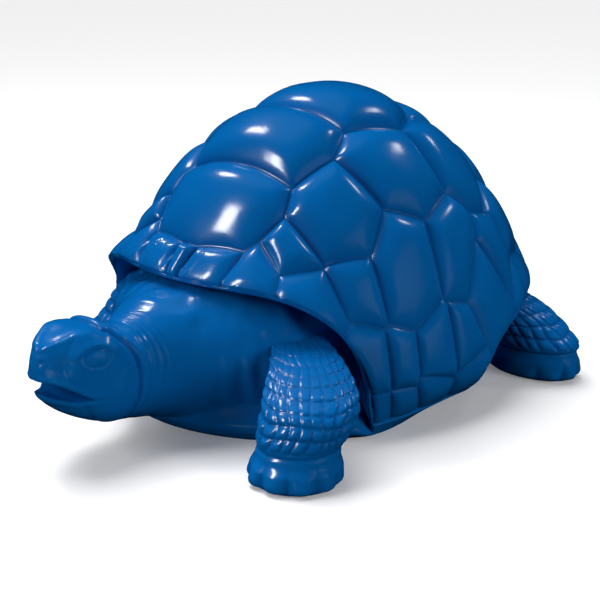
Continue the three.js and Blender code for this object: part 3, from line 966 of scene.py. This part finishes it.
@dataclass
class HeadAndNeck:
    """Blunt head with an open beak, hooded eyes and creased neck, reached forward.

    Sizes, rises and depths are in millimetres. The relief reads three places of each
    point: x, its distance from the middle plane; b, its way back from the beak; and z,
    its height.
    """

    sides: int = 216
    nose_end: float = 4.0
    face_end: float = 190.0
    face_step: float = 1.6
    neck_end: float = 431.0
    neck_step: float = 3.0
    axis_level: float = 140.0
    face_radius: float = 58.0
    eye_back: float = 66.0
    eye_level: float = 168.0
    eye_half_length: float = 17.0
    eye_half_height: float = 11.5
    eye_rise: float = 3.2
    orbit_back: float = 81.0
    orbit_up: float = 10.0
    orbit_half_length: float = 55.0
    orbit_rise: float = 6.5
    upper_lid: float = 3.0
    lower_lid: float = 0.8
    socket_depth: float = 1.2
    bag_rise: float = 0.5
    ridge_rise: float = 2.6
    brow_rise: float = 3.0
    crown_dip: float = 1.8
    nose_dip: float = 2.6
    nostril_depth: float = 2.8
    upper_lip_rise: float = 1.8
    lower_lip_rise: float = 1.4
    corner_depth: float = 1.6
    crease_depth: float = 4.6
    crease_roll: float = 2.6
    fold_rise: float = 0.8
    fold_length: float = 27.0
    fold_bend: float = 16.0
    fine_rise: float = 0.7
    fine_length: float = 8.5
    drape_rise: float = 2.2
    drape_length: float = 24.0
    shoulder_rise: float = 3.0
    lump_rise: float = 1.5
    skin_rise: float = 0.3
    furrow_depth: float = 6.0
    mouth_depth: float = 58.0
    mouth_half_width: float = 120.0
    mouth_shift: tuple[float, float] = (0.13, 0.07)
    # Groove value of the mouth's inside: painted shade that darkens it, and dullness
    mouth_dull_and_shade: float = 2.0
    lip_angle: float = 50.0

    def rows(self) -> np.ndarray:
        """Ways back of the rings: close at the beak, wider on the neck."""
        nose = self.nose_end * (np.arange(8) / 8) ** 2
        face = np.arange(self.nose_end, self.face_end, self.face_step)
        return np.concatenate([nose, face, np.arange(self.face_end, self.neck_end, self.neck_step)])

    def surface(self) -> tuple[np.ndarray, np.ndarray]:
        """Smooth skin: superellipses whose size and place ease through the stations.

        Returns:
            Points of the rings, and the ways back of the rings.
        """
        back = self.rows()
        half, low, high, square = ease_through(back, HEAD_STATIONS[:, 0], HEAD_STATIONS[:, 1:]).T
        angle = TURN * (np.arange(self.sides) + 0.5) / self.sides
        c, s = np.cos(angle)[None], np.sin(angle)[None]
        p = square[:, None]
        size = (np.abs(c) ** p + np.abs(s) ** p) ** (-1 / p)
        x = half[:, None] * c * size
        z = ((high + low) / 2)[:, None] + ((high - low) / 2)[:, None] * s * size
        y = np.broadcast_to(BEAK_Y + back[:, None], x.shape)
        return np.stack([x, y, z], -1), back

    def relief(self, points: np.ndarray, back: np.ndarray) -> np.ndarray:
        """Height of all carving over the smooth skin, in millimetres.

        Args:
            points: Points of the smooth skin.
            back: Way back from the beak of each ring.

        Returns:
            One height per point.
        """
        x, z = np.abs(points[..., 0]), points[..., 2]
        b = np.broadcast_to(back[:, None], x.shape)
        carved = self.eye_relief(x, b, z) + self.face_relief(x, b, z)
        return carved + self.neck_relief(points, x, b, z) + self.skin_rise * ripple(points, 22, 9)

    def eye_relief(self, x: np.ndarray, b: np.ndarray, z: np.ndarray) -> np.ndarray:
        """Orbit, eyeball and lids.

        The orbit is a dome that falls off sharply: one minus the way out from its middle
        to the power 2.4, rooted. The eyeball is the cap of an ellipse in a shallow
        socket, the upper lid a ledge that ends sharply over it, the lower lid a soft
        roll with a faint bag under it.

        Args:
            x: Distance from the middle plane.
            b: Way back from the beak.
            z: Height.

        Returns:
            One height per point.
        """
        up = self.face_radius * np.arctan2(z - self.axis_level, np.maximum(x, 1e-6))
        middle = self.orbit_back - 0.25 * (up - self.orbit_up)
        tall = np.where(up > self.orbit_up, 52.0, 84.0)
        out = np.hypot((b - middle) / self.orbit_half_length, (up - self.orbit_up) / tall)
        orbit = self.orbit_rise * np.clip(1 - out**2.4, 0, 1) ** 0.65
        across, over = b - self.eye_back, z - self.eye_level
        from_eye = np.hypot(across / self.eye_half_length, over / self.eye_half_height)
        ball = self.eye_rise * np.sqrt(np.clip(1 - from_eye**2, 0, 1))
        from_lid = np.hypot(across / 26, (over - 0.5) / 15.5)
        upper = past(over, -2, 6)
        ledge = past(from_lid, 0.84, 0.12) * bell(np.maximum(from_lid - 0.96, 0) / 0.34)
        lids = self.upper_lid * ledge * upper
        lids = lids + self.lower_lid * near(from_eye, 1.3, 0.3) * (1 - upper)
        socket = -self.socket_depth * near(from_eye, 1.04, 0.15)
        bags = self.bag_rise * near(from_lid, 1.55, 0.2) * (1 - past(over, -14, 12))
        return orbit * past(x, 14, 16) + (ball + lids + socket + bags) * past(x, 24, 14)

    def face_relief(self, x: np.ndarray, b: np.ndarray, z: np.ndarray) -> np.ndarray:
        """Ridge from nose to eye, forehead, nostril, lips, jaw and the crease behind.

        The ridge follows a line from the nose's middle up to the orbit; its height
        falls off as a bell with the distance from that line. The crease follows a line
        that leans forward as it rises, with a roll of skin behind it.

        Args:
            x: Distance from the middle plane.
            b: Way back from the beak.
            z: Height.

        Returns:
            One height per point.
        """
        ridge_x = np.interp(b, [6, 17, 30, 42, 58], [0, 16, 25, 31, 38])
        ridge_z = np.interp(b, [6, 17, 30, 42, 58], [181, 189, 194, 198, 202])
        aside = np.hypot(x - ridge_x, z - ridge_z)
        ridge = self.ridge_rise * bell(aside / 5.5) * past(b, 4, 8) * before(b, 66, 16)
        brow = self.brow_rise * near(b, 56, 24) * near(x, 33, 12) * past(z, 178, 16)
        crown = -self.crown_dip * bell(x / 16) * near(b, 56, 34) * past(z, 176, 14)
        hollow = -self.nose_dip * near(b, 20, 13) * near(z, 166, 14) * past(x, 12, 10)
        nostril = -self.nostril_depth * bell(np.hypot(b - 4, np.hypot(x - 11, z - 166)) / 3.2)
        upper = np.interp(b, UPPER_LIP[:, 0], UPPER_LIP[:, 1])
        lower = np.interp(b, LOWER_LIP[:, 0], LOWER_LIP[:, 1])
        lips = self.upper_lip_rise * near(z, upper + 4.5, 4.5)
        lips = lips + self.lower_lip_rise * near(z, lower - 5, 5)
        corner = -self.corner_depth * near(b, 66, 9) * near(z, 106, 5)
        mouth = (lips + corner) * before(b, 84, 26)
        line = np.interp(z, [60, 134, 150, 167, 179, 191, 200], [138, 138, 135, 126, 116, 104, 92])
        crease = -self.crease_depth * near(b, line, 4.4) * past(z, 58, 40)
        roll = self.crease_roll * near(b, line + 13, 7) * past(z, 84, 50)
        return ridge + brow + crown + hollow + nostril + mouth + crease + roll

    def neck_relief(
        self, points: np.ndarray, x: np.ndarray, b: np.ndarray, z: np.ndarray
    ) -> np.ndarray:
        """Skin of the neck and chest: rings of folds, fine creases and soft drapes.

        The folds are sine waves along the neck, bent by a slow random swell and weaker
        underneath; the drapes are sine waves across the lower chest. Random swells make
        the shoulders and the lumps of skin under the shell's rim.

        Args:
            points: Points of the smooth skin.
            x: Distance from the middle plane.
            b: Way back from the beak.
            z: Height.

        Returns:
            One height per point.
        """
        bend = self.fold_bend * ripple(points, 150, 11)
        folds = self.fold_rise * sine(b + bend - 0.18 * (z - 110), self.fold_length)
        folds = folds * past(b, 160, 20) * before(b, 300, 70)
        folds = folds * (0.6 + 0.5 * ripple(points, 90, 31)) * (0.35 + 0.65 * past(z, 90, 70))
        fine = self.fine_rise * sine(b + 0.6 * bend, self.fine_length)
        fine = fine * past(b, 146, 14) * before(b, 206, 30) * past(z, 96, 50)
        drapes = self.drape_rise * sine(x + 9 * ripple(points, 90, 23), self.drape_length)
        drapes = drapes * past(b, 215, 50) * before(z, 170, 70)
        shoulder = self.shoulder_rise * ripple(points * [1.0, 0.8, 0.6], 105, 5)
        lumps = self.lump_rise * ripple(points * [1.0, 1.0, 0.5], 38, 41)
        lumps = lumps * past(b, 205, 30) * past(z, 140, 40)
        return folds + fine + drapes + shoulder * past(b, 225, 50) + lumps

    def mouth_cutter(self) -> bpy.types.Object:
        """Body that opens the beak: the section between both lips, drawn out sideways.

        It is shifted by a fraction of a millimetre, so that none of its corners falls on
        a point of the head. Its skin is marked for painted shade, which darkens the open mouth and
        dulls it.

        Returns:
            The cutter's object.
        """
        at = np.linspace(0, 1, 15) * self.mouth_depth
        upper = ease_through(at, UPPER_LIP[:, 0], UPPER_LIP)
        lower = ease_through(at[::-1], LOWER_LIP[:, 0], LOWER_LIP)
        section = np.vstack([UPPER_LIP[:1], upper, lower[1:], LOWER_LIP[:1]])
        section = section + [BEAK_Y + self.mouth_shift[0], self.mouth_shift[1]]
        count = len(section)
        side = np.column_stack([np.full(count, self.mouth_half_width), section])
        points = np.vstack([side, side * [-1, 1, 1]])
        here = np.arange(count)
        there = np.roll(here, -1)
        walls = np.stack([here, there, there + count, here + count], -1).tolist()
        faces = [*walls, here[::-1].tolist(), (here + count).tolist()]
        # Painted shade: the cut faces inside the mouth are marked dark and dull
        dull_and_shade = np.full(2 * count, self.mouth_dull_and_shade)
        cutter = Skin(points, faces, dull_and_shade).to_object("mouth_cutter")
        cutter.data.polygons.foreach_set("use_smooth", np.zeros(count + 2, bool))
        return cutter

    def build(self) -> bpy.types.Object:
        """Head and neck as one closed piece, with the mouth cut in.

        Returns:
            The object of head and neck.
        """
        points, back = self.surface()
        height = self.relief(points, back)
        normal = grid_normals(points)
        outward = points - np.array([0, 0, 1.0]) * points[:, :, 2].mean(1)[:, None, None]
        outward[..., 1] = 0
        flip = np.sign((normal * outward).sum(-1).mean())
        height[:3] *= 0.2
        points = points + normal * flip * height[..., None]
        # Painted shade: recessed carving is marked darker and duller, the more the deeper
        groove = np.clip(-height / self.furrow_depth, 0, 1)
        head = Skin.from_rings(points, groove).to_object("head_and_neck")
        cutter = self.mouth_cutter()
        cut = head.modifiers.new("mouth", "BOOLEAN")
        cut.operation = "DIFFERENCE"
        cut.solver = "EXACT"
        cut.object = cutter
        graph = bpy.context.evaluated_depsgraph_get()
        opened = bpy.data.meshes.new_from_object(head.evaluated_get(graph))
        head.modifiers.clear()
        head.data = opened
        weld(opened, CUT_WELD_MM)
        opened.set_sharp_from_angle(angle=self.lip_angle * DEGREE)
        bpy.data.objects.remove(cutter)
        return head


# --- Legs and tail -----------------------------------------------------------------


class LegPlace(Enum):
    """Which leg: side of the body, shift along it, turn of the foot and of its toes."""

    LEFT_FRONT = (1, 0.0, 12.0, 0.0)
    RIGHT_FRONT = (-1, 0.0, -12.0, 0.0)
    LEFT_HIND = (1, 0.0, 55.0, 62.0)
    RIGHT_HIND = (-1, -60.0, -40.0, -40.0)


# Stations: height, centre across and along as for a left leg, half sizes
LEG_STATIONS = {
    LegPlace.LEFT_FRONT: np.array([
        [0, 287, -345, 59, 59], [8, 287, -345, 66, 66], [24, 287, -344, 66, 66],
        [38, 286, -341, 61, 61], [50, 286, -338, 60, 60], [68, 287, -330, 63, 63],
        [86, 287, -319, 67, 67], [104, 281, -308, 67, 67], [120, 266, -291, 62, 62],
        [133, 247, -273, 55, 55], [144, 222, -252, 47, 47], [152, 192, -230, 39, 39],
        [157, 140, -178, 30, 30],
    ], float),
    LegPlace.RIGHT_FRONT: np.array([
        [0, 248, -254, 58, 58], [8, 248, -254, 66, 66], [24, 248, -254, 66, 66],
        [38, 246, -250, 60, 60], [52, 241, -240, 58, 58], [98, 217, -196, 56, 56],
        [145, 200, -160, 60, 60], [180, 185, -135, 50, 50], [205, 165, -110, 32, 32],
    ], float),
    LegPlace.LEFT_HIND: np.array([
        [0, 300, 250, 74, 44], [8, 300, 250, 83, 52], [28, 300, 250, 87, 55],
        [44, 298, 250, 84, 54], [56, 296, 250, 88, 57], [82, 284, 250, 73, 57],
        [105, 266, 245, 60, 56], [128, 238, 228, 52, 50], [146, 208, 200, 36, 36],
    ], float),
}
LEG_STATIONS[LegPlace.RIGHT_HIND] = LEG_STATIONS[LegPlace.LEFT_HIND]


@dataclass
class Leg:
    """Column leg with blunt toes, nails, a foot crease and rows of square scales.

    Sizes, rises and depths are in millimetres.
    """

    name: str
    place: LegPlace
    sides: int = 208
    row_count: int = 150
    toes: int = 10
    toe_step: float = 7.5
    toe_middle: float = 0.55
    nail_rise: float = 3.2
    nail_level: float = 11.0
    nail_width: float = 9.0
    foot_height: float = 50.0
    crease_depth: float = 2.6
    crease_roll: float = 1.2
    girth_radius: float = 66.0
    scale_width: float = 18.4
    scale_height: float = 21.0
    scale_rise: float = 4.4
    scale_start: float = 6.0
    skin_rise: float = 0.4
    sole_fade: float = 5.0

    def build(self) -> bpy.types.Object:
        """Leg as one closed piece.

        A ring at each height is an ellipse whose centre and half sizes ease through the
        stations. The relief goes straight outwards and fades to nothing at the sole.

        Returns:
            The leg's object.
        """
        side, shift, yaw, toe_turn = self.place.value
        stations = LEG_STATIONS[self.place]
        gaps = np.linalg.norm(np.diff(stations[:, :3], axis=0), axis=1)
        marks = np.concatenate([[0], np.cumsum(gaps)])
        at = np.linspace(0, 1, self.row_count) * marks[-1]
        z, cx, cy, across, along = ease_through(at, marks, stations).T
        share = np.interp(at, marks, np.linspace(0, 1, len(marks)))
        cy = cy + shift * (1 - smooth(share - 0.3))
        angle = TURN * np.arange(self.sides) / self.sides
        turn = yaw * DEGREE + angle
        ring = np.stack([np.sin(turn), -np.cos(turn)], -1)
        size = np.stack([across, along], -1)
        xy = np.stack([side * cx, cy], -1)[:, None] + size[:, None] * ring[None]
        level = np.broadcast_to(z[:, None, None], (*xy.shape[:2], 1))
        points = np.concatenate([xy, level], -1)
        scales, groove = self.scales(points, z, at, angle)
        height = self.foot(z, angle - toe_turn * DEGREE) + scales
        height = height + self.skin_rise * ripple(points, 30, 21)
        under = smooth(z / self.sole_fade)[:, None]
        points[..., :2] += ring[None] * (height * under)[..., None]
        # Painted shade: the furrows between scales are marked darker and duller
        return Skin.from_rings(points, groove * under).to_object(self.name)

    def foot(self, z: np.ndarray, angle: np.ndarray) -> np.ndarray:
        """Rise of the toes and nails, and of the crease above the foot.

        Toes are arcs with sharp valleys, the size of a cosine to the power 0.6. A nail
        is a bell low on the middle of each toe. Both fade away behind the foot.

        Args:
            z: Height of each ring.
            angle: Turn of each side from the foremost point of the foot, in radians.

        Returns:
            One height per point, rings by sides.
        """
        lobes = np.abs(np.cos(self.toes / 2 * angle))[None] ** 0.6
        forward = np.clip(np.cos(angle) * 0.9 + 0.5, 0, 1)[None]
        on_foot = before(z, self.foot_height - 7, 30)[:, None]
        nail = near(z[:, None], self.nail_level, self.nail_width)
        nail = nail * np.clip(lobes * 2.2 - 1.2, 0, 1) * self.nail_rise
        toe = (lobes - self.toe_middle) * self.toe_step
        crease = -self.crease_depth * near(z, self.foot_height, 2.6)
        crease = crease + self.crease_roll * near(z, self.foot_height + 6, 4)
        return (toe + nail) * forward * on_foot + crease[:, None]

    def scales(
        self, points: np.ndarray, z: np.ndarray, at: np.ndarray, angle: np.ndarray
    ) -> tuple[np.ndarray, np.ndarray]:
        """Rows of square scales: pillows between furrows, bent by random swells.

        A pillow is one minus the way from its middle to a power, in both directions,
        and the product to the power 0.75.

        Args:
            points: Points of the smooth leg.
            z: Height of each ring.
            at: Way up the leg of each ring.
            angle: Turn of each side, in radians.

        Returns:
            Rise of the scales, and how deep each point lies in the furrows, from 0 to 1.
        """
        columns = round(TURN * self.girth_radius / self.scale_width)
        start = self.foot_height + self.scale_start
        u = angle[None] / TURN * columns + 0.3 * ripple(points, 60, 13)
        v = (at[:, None] - start) / self.scale_height + 0.16 * ripple(points, 60, 17)
        off_u, off_v = np.abs(2 * (u % 1) - 1), np.abs(2 * (v % 1) - 1)
        pillow = ((1 - off_u**2.6) * (1 - off_v**2.8)) ** 0.75
        grown = past(z, self.foot_height + 4, 8)[:, None]
        size = 1 + 0.25 * ripple(points, 26, 19)
        return self.scale_rise * (pillow * size - 0.3) * grown, (1 - pillow) * grown


# Stations: way back to the tip, half width, bottom and top heights
TAIL_STATIONS = np.array([
    [-204, 60, 50, 150],
    [-114, 50, 55, 140],
    [-54, 32, 44, 106],
    [-16, 18, 28, 62],
    [0, 7, 25, 38],
], float)


@dataclass
class Tail:
    """Short blunt tail that hangs from the rump under the rear rim."""

    sides: int = 96
    rows: int = 90
    tip_y: float = 494.0
    ring_rise: float = 1.1
    ring_length: float = 11.0

    def build(self) -> bpy.types.Object:
        """Tail as one closed piece: ellipses eased through the stations, with soft rings.

        Returns:
            The tail's object.
        """
        back = np.linspace(TAIL_STATIONS[0, 0], 0, self.rows)
        half, low, high = ease_through(back, TAIL_STATIONS[:, 0], TAIL_STATIONS[:, 1:]).T
        angle = TURN * np.arange(self.sides) / self.sides
        rings = self.ring_rise * sine(back, self.ring_length) * smooth(-back / 30)
        x = (half + rings)[:, None] * np.cos(angle)
        z = ((high + low) / 2)[:, None] + ((high - low) / 2 + rings)[:, None] * np.sin(angle)
        y = np.broadcast_to(self.tip_y + back[:, None], x.shape)
        return Skin.from_rings(np.stack([x, y, z], -1), np.zeros(x.shape)).to_object("tail")


# --- Finishes ----------------------------------------------------------------------


def linear(hex_colour: str) -> tuple[float, float, float, float]:
    """Linear colour of an sRGB hex value.

    Args:
        hex_colour: Colour as #RRGGBB.

    Returns:
        Red, green, blue and a full alpha.
    """
    raw = np.array([int(hex_colour[i : i + 2], 16) for i in (1, 3, 5)]) / 255
    value = np.where(raw <= 0.04045, raw / 12.92, ((raw + 0.055) / 1.055) ** 2.4)
    return (*(float(v) for v in value), 1.0)


def add_node(
    tree: bpy.types.NodeTree, kind: str, settings: dict | None = None, links: dict | None = None
) -> bpy.types.Node:
    """Adds a node with its settings and links.

    Args:
        tree: Node tree of the material.
        kind: Blender's name of the node's type.
        settings: Attribute names, or input names or numbers, with their values.
        links: Input names or numbers with the output sockets that feed them.

    Returns:
        The new node.
    """
    node = tree.nodes.new(kind)
    for key, value in (settings or {}).items():
        if isinstance(key, int) or key in node.inputs:
            node.inputs[key].default_value = value
        else:
            setattr(node, key, value)
    for key, socket in (links or {}).items():
        tree.links.new(socket, node.inputs[key])
    return node


def noise(
    tree: bpy.types.NodeTree, place: bpy.types.NodeSocket, size_mm: float, detail: float
) -> bpy.types.NodeSocket:
    """Noise in the piece's own space.

    Args:
        tree: Node tree of the material.
        place: Socket with the place.
        size_mm: Size of one swell of the noise.
        detail: How many finer layers it has.

    Returns:
        Socket with the noise's value.
    """
    settings = {"Scale": 1000 / size_mm, "Detail": detail}
    return add_node(tree, "ShaderNodeTexNoise", settings, {"Vector": place}).outputs["Fac"]


def spread(
    tree: bpy.types.NodeTree,
    value: bpy.types.NodeSocket,
    given: tuple[float, float],
    wanted: tuple[float, float],
) -> bpy.types.NodeSocket:
    """Stretches a value from one range to another.

    Args:
        tree: Node tree of the material.
        value: Socket with the value.
        given: Range that the value comes in.
        wanted: Range that it gets.

    Returns:
        Socket with the stretched value.
    """
    names = ("From Min", "From Max", "To Min", "To Max")
    settings = dict(zip(names, (*given, *wanted)))
    return add_node(tree, "ShaderNodeMapRange", settings, {"Value": value}).outputs["Result"]


@dataclass(frozen=True)
class GlossyPlastic:
    """Blue injection-moulded plastic with a polished mould's gloss.

    The polish gives clear, slightly soft reflections. A faint swell of the skin, where
    the wall cooled unevenly, bends them, and a fine peel softens their edges. The tone
    wanders a little over a hand's width. Furrows and the open mouth get painted shade:
    they are mixed toward a deeper colour, and they are duller.
    """

    name: str = "blue_moulded_plastic"
    colour: str = "#0468B4"
    # Colour that the random clouds and the painted shade of furrows and mouth mix toward
    deep_and_shade_colour: str = "#02488C"
    roughness: float = 0.16
    furrow_roughness: float = 0.34
    ior: float = 1.49
    cloud_mm: float = 90.0
    cloud_share: float = 0.16
    # How strongly the groove value paints shade into furrows and the open mouth
    furrow_shade_share: float = 0.45
    swell_mm: float = 26.0
    swell_depth: float = 0.0006
    peel_mm: float = 2.6
    peel_depth: float = 0.00004

    def build(self) -> bpy.types.Material:
        """Material with its nodes.

        Returns:
            The new material.
        """
        material = bpy.data.materials.new(self.name)
        material.use_nodes = True
        tree = material.node_tree
        tree.nodes.clear()
        place = add_node(tree, "ShaderNodeTexCoord").outputs["Object"]
        furrow = add_node(tree, "ShaderNodeAttribute", {"attribute_name": "groove"}).outputs["Fac"]
        # Slow clouds of a deeper tone keep the blue from looking like flat paint
        cloud = noise(tree, place, self.cloud_mm, 3.0)
        tone = spread(tree, cloud, (0.3, 0.7), (0.0, self.cloud_share))
        # Painted shade: the groove value draws furrows, creases and the open mouth toward the deep
        # colour, on top of the clouds
        shade = add_node(
            tree, "ShaderNodeMath",
            {"operation": "MULTIPLY_ADD", 1: self.furrow_shade_share, "use_clamp": True},
            {0: furrow, 2: tone},
        ).outputs[0]
        colour = add_node(
            tree, "ShaderNodeMix",
            {"data_type": "RGBA", 6: linear(self.colour), 7: linear(self.deep_and_shade_colour)},
            {0: shade},
        )
        # Furrows, painted darker as shade, are also rougher, so that the scutes read as bubbles
        gloss = spread(tree, shade, (0.0, 1.0), (self.roughness, self.furrow_roughness))
        # The wide swell bends each long highlight, the fine peel blurs its edge
        wide = add_node(
            tree, "ShaderNodeBump", {"Strength": 0.5, "Distance": self.swell_depth},
            {"Height": noise(tree, place, self.swell_mm, 1.0)},
        )
        fine = add_node(
            tree, "ShaderNodeBump", {"Strength": 0.4, "Distance": self.peel_depth},
            {"Height": noise(tree, place, self.peel_mm, 2.0), "Normal": wide.outputs["Normal"]},
        )
        shader = add_node(
            tree, "ShaderNodeBsdfPrincipled", {"IOR": self.ior, "Metallic": 0.0},
            {"Base Color": colour.outputs[2], "Roughness": gloss, "Normal": fine.outputs["Normal"]},
        )
        add_node(tree, "ShaderNodeOutputMaterial", None, {"Surface": shader.outputs[0]})
        return material


@dataclass(frozen=True)
class PaleFloor:
    """Matt white studio paper, lit from behind a little so that it stays white far off."""

    name: str = "studio_paper"
    colour: str = "#FAFAFB"
    roughness: float = 0.9
    glow: float = 0.15

    def build(self) -> bpy.types.Material:
        """Material with its nodes.

        Returns:
            The new material.
        """
        material = bpy.data.materials.new(self.name)
        material.use_nodes = True
        shader = material.node_tree.nodes["Principled BSDF"]
        shader.inputs["Base Color"].default_value = linear(self.colour)
        shader.inputs["Roughness"].default_value = self.roughness
        shader.inputs["Emission Color"].default_value = linear(self.colour)
        shader.inputs["Emission Strength"].default_value = self.glow
        return material


# --- Studio ------------------------------------------------------------------------


@dataclass(frozen=True)
class SoftBox:
    """Rectangular soft light: where it stands in metres, its size, power in watts and aim.

    One that isn't mirrored only fills: no reflection of it shows in the gloss. One that
    doesn't fill shows in the gloss alone.
    """

    name: str
    place: tuple[float, float, float]
    size: tuple[float, float]
    power: float
    aim: tuple[float, float, float] = (0.0, 0.0, 0.2)
    mirrored: bool = True
    fills: bool = True

    def build(self) -> None:
        """Adds the light, turned to its aim."""
        lamp = bpy.data.lights.new(self.name, "AREA")
        lamp.shape = "RECTANGLE"
        lamp.size, lamp.size_y = self.size
        lamp.energy = self.power
        hang(lamp, Vector(self.place), Vector(self.aim), self.mirrored, self.fills)


@dataclass(frozen=True)
class Sky:
    """Even light from a wide patch of sky: its direction, width in degrees and strength."""

    name: str
    place: tuple[float, float, float]
    width: float
    strength: float

    def build(self) -> None:
        """Adds the light, which fills without a reflection of its own."""
        lamp = bpy.data.lights.new(self.name, "SUN")
        lamp.angle = self.width * DEGREE
        lamp.energy = self.strength
        hang(lamp, Vector(self.place), Vector(), mirrored=False, fills=True)


def hang(lamp: bpy.types.Light, place: Vector, aim: Vector, mirrored: bool, fills: bool) -> None:
    """Hangs a lamp at a place, turned to its aim.

    Args:
        lamp: The lamp's data.
        place: Where it hangs.
        aim: Point that it looks at.
        mirrored: Whether it shows in the gloss.
        fills: Whether it lights what isn't gloss.
    """
    holder = bpy.data.objects.new(lamp.name, lamp)
    holder.location = place
    holder.rotation_euler = (aim - place).to_track_quat("-Z", "Y").to_euler()
    holder.visible_glossy = mirrored
    holder.visible_diffuse = fills
    bpy.context.collection.objects.link(holder)


@dataclass
class Studio:
    """Pale floor, soft lights and the camera at the photograph's angle.

    The camera stands on a ray from its aim, at an azimuth and elevation in degrees and a
    distance in metres. Sizes in px belong to the photograph's frame.
    """

    azimuth: float = 41.1
    elevation: float = 14.4
    distance: float = 2.24
    aim: tuple[float, float, float] = (0.00136, 0.0385, 0.25)
    focal_px: float = 1336.0
    frame_px: float = 600.0
    centre_px: tuple[float, float] = (304.0, 227.0)
    sensor_mm: float = 36.0
    floor_half: float = 30.0
    surround_colour: str = "#F4F6F8"

    def camera(self) -> None:
        """Camera on its ray from the aim, then turned so the frame's centre fits."""
        a, e = self.azimuth * DEGREE, self.elevation * DEGREE
        back = Vector((math.sin(a) * math.cos(e), -math.cos(a) * math.cos(e), math.sin(e)))
        right = Vector((math.cos(a), math.sin(a), 0))
        up = back.cross(right)
        middle = self.frame_px / 2
        aside = (middle - self.centre_px[0]) / self.focal_px
        down = (middle - self.centre_px[1]) / self.focal_px
        look = right * aside - up * down - back
        data = bpy.data.cameras.new("camera")
        data.sensor_width = self.sensor_mm
        data.lens = self.focal_px / self.frame_px * data.sensor_width
        holder = bpy.data.objects.new("camera", data)
        holder.location = Vector(self.aim) + back * self.distance
        holder.rotation_euler = look.to_track_quat("-Z", "Y").to_euler()
        bpy.context.collection.objects.link(holder)
        bpy.context.scene.camera = holder

    def floor(self) -> None:
        """Wide flat floor, not part of the object."""
        mesh = bpy.data.meshes.new("floor")
        half = self.floor_half
        corners = [(-half, -half, 0), (half, -half, 0), (half, half, 0), (-half, half, 0)]
        mesh.from_pydata(corners, [], [(0, 1, 2, 3)])
        floor = bpy.data.objects.new("floor", mesh)
        floor.data.materials.append(PaleFloor().build())
        floor.visible_diffuse = floor.visible_glossy = False
        bpy.context.collection.objects.link(floor)

    def lights(self) -> None:
        """Even sky, soft boxes, and a pale surround that only the camera sees."""
        lights = [
            Sky("sky", (-0.5, 0.2, 1.0), 50.0, 2.9),
            SoftBox("key", (-0.85, -2.41, 2.18), (0.5, 1.5), 70.0, fills=False),
            SoftBox("side", (-1.83, 0.0, 2.75), (0.35, 0.6), 18.0),
            SoftBox("rear", (0.75, 1.95, 2.4), (0.45, 0.3), 5.0),
            SoftBox("front", (-1.4, -2.6, 1.5), (1.5, 1.2), 38.0, mirrored=False),
            SoftBox("fill", (3.0, 0.3, 1.2), (2.0, 1.6), 42.0, mirrored=False),
            SoftBox(
                "low_fill", (0.42, -1.2, 0.03), (0.3, 0.2), 2.6, (0.0, -0.5, 0.12), mirrored=False
            ),
        ]
        for light in lights:
            light.build()
        world = bpy.data.worlds.new("surround")
        world.use_nodes = True
        tree = world.node_tree
        tree.nodes.clear()
        pale = {"Color": linear(self.surround_colour), "Strength": 1.0}
        ground = add_node(tree, "ShaderNodeBackground", pale)
        add_node(tree, "ShaderNodeOutputWorld", None, {"Surface": ground.outputs[0]})
        world.cycles_visibility.diffuse = world.cycles_visibility.glossy = False
        bpy.context.scene.world = world

    def build(self) -> None:
        """Camera, floor and lights, shown with plain display colours."""
        bpy.context.scene.view_settings.view_transform = "Standard"
        self.camera()
        self.floor()
        self.lights()


def main() -> None:
    """Builds the studio and all pieces of the figure, in order."""
    logging.basicConfig(level=logging.INFO, format="%(name)s %(message)s")
    Studio().build()
    plastic = GlossyPlastic().build()
    makers = [
        Shell(),
        HeadAndNeck(),
        Leg("left_front_leg", LegPlace.LEFT_FRONT),
        Leg("right_front_leg", LegPlace.RIGHT_FRONT),
        Leg("left_hind_leg", LegPlace.LEFT_HIND),
        Leg("right_hind_leg", LegPlace.RIGHT_HIND),
        Tail(),
    ]
    for maker in makers:
        dress(maker.build(), plastic)


if __name__ == "__main__":
    main()
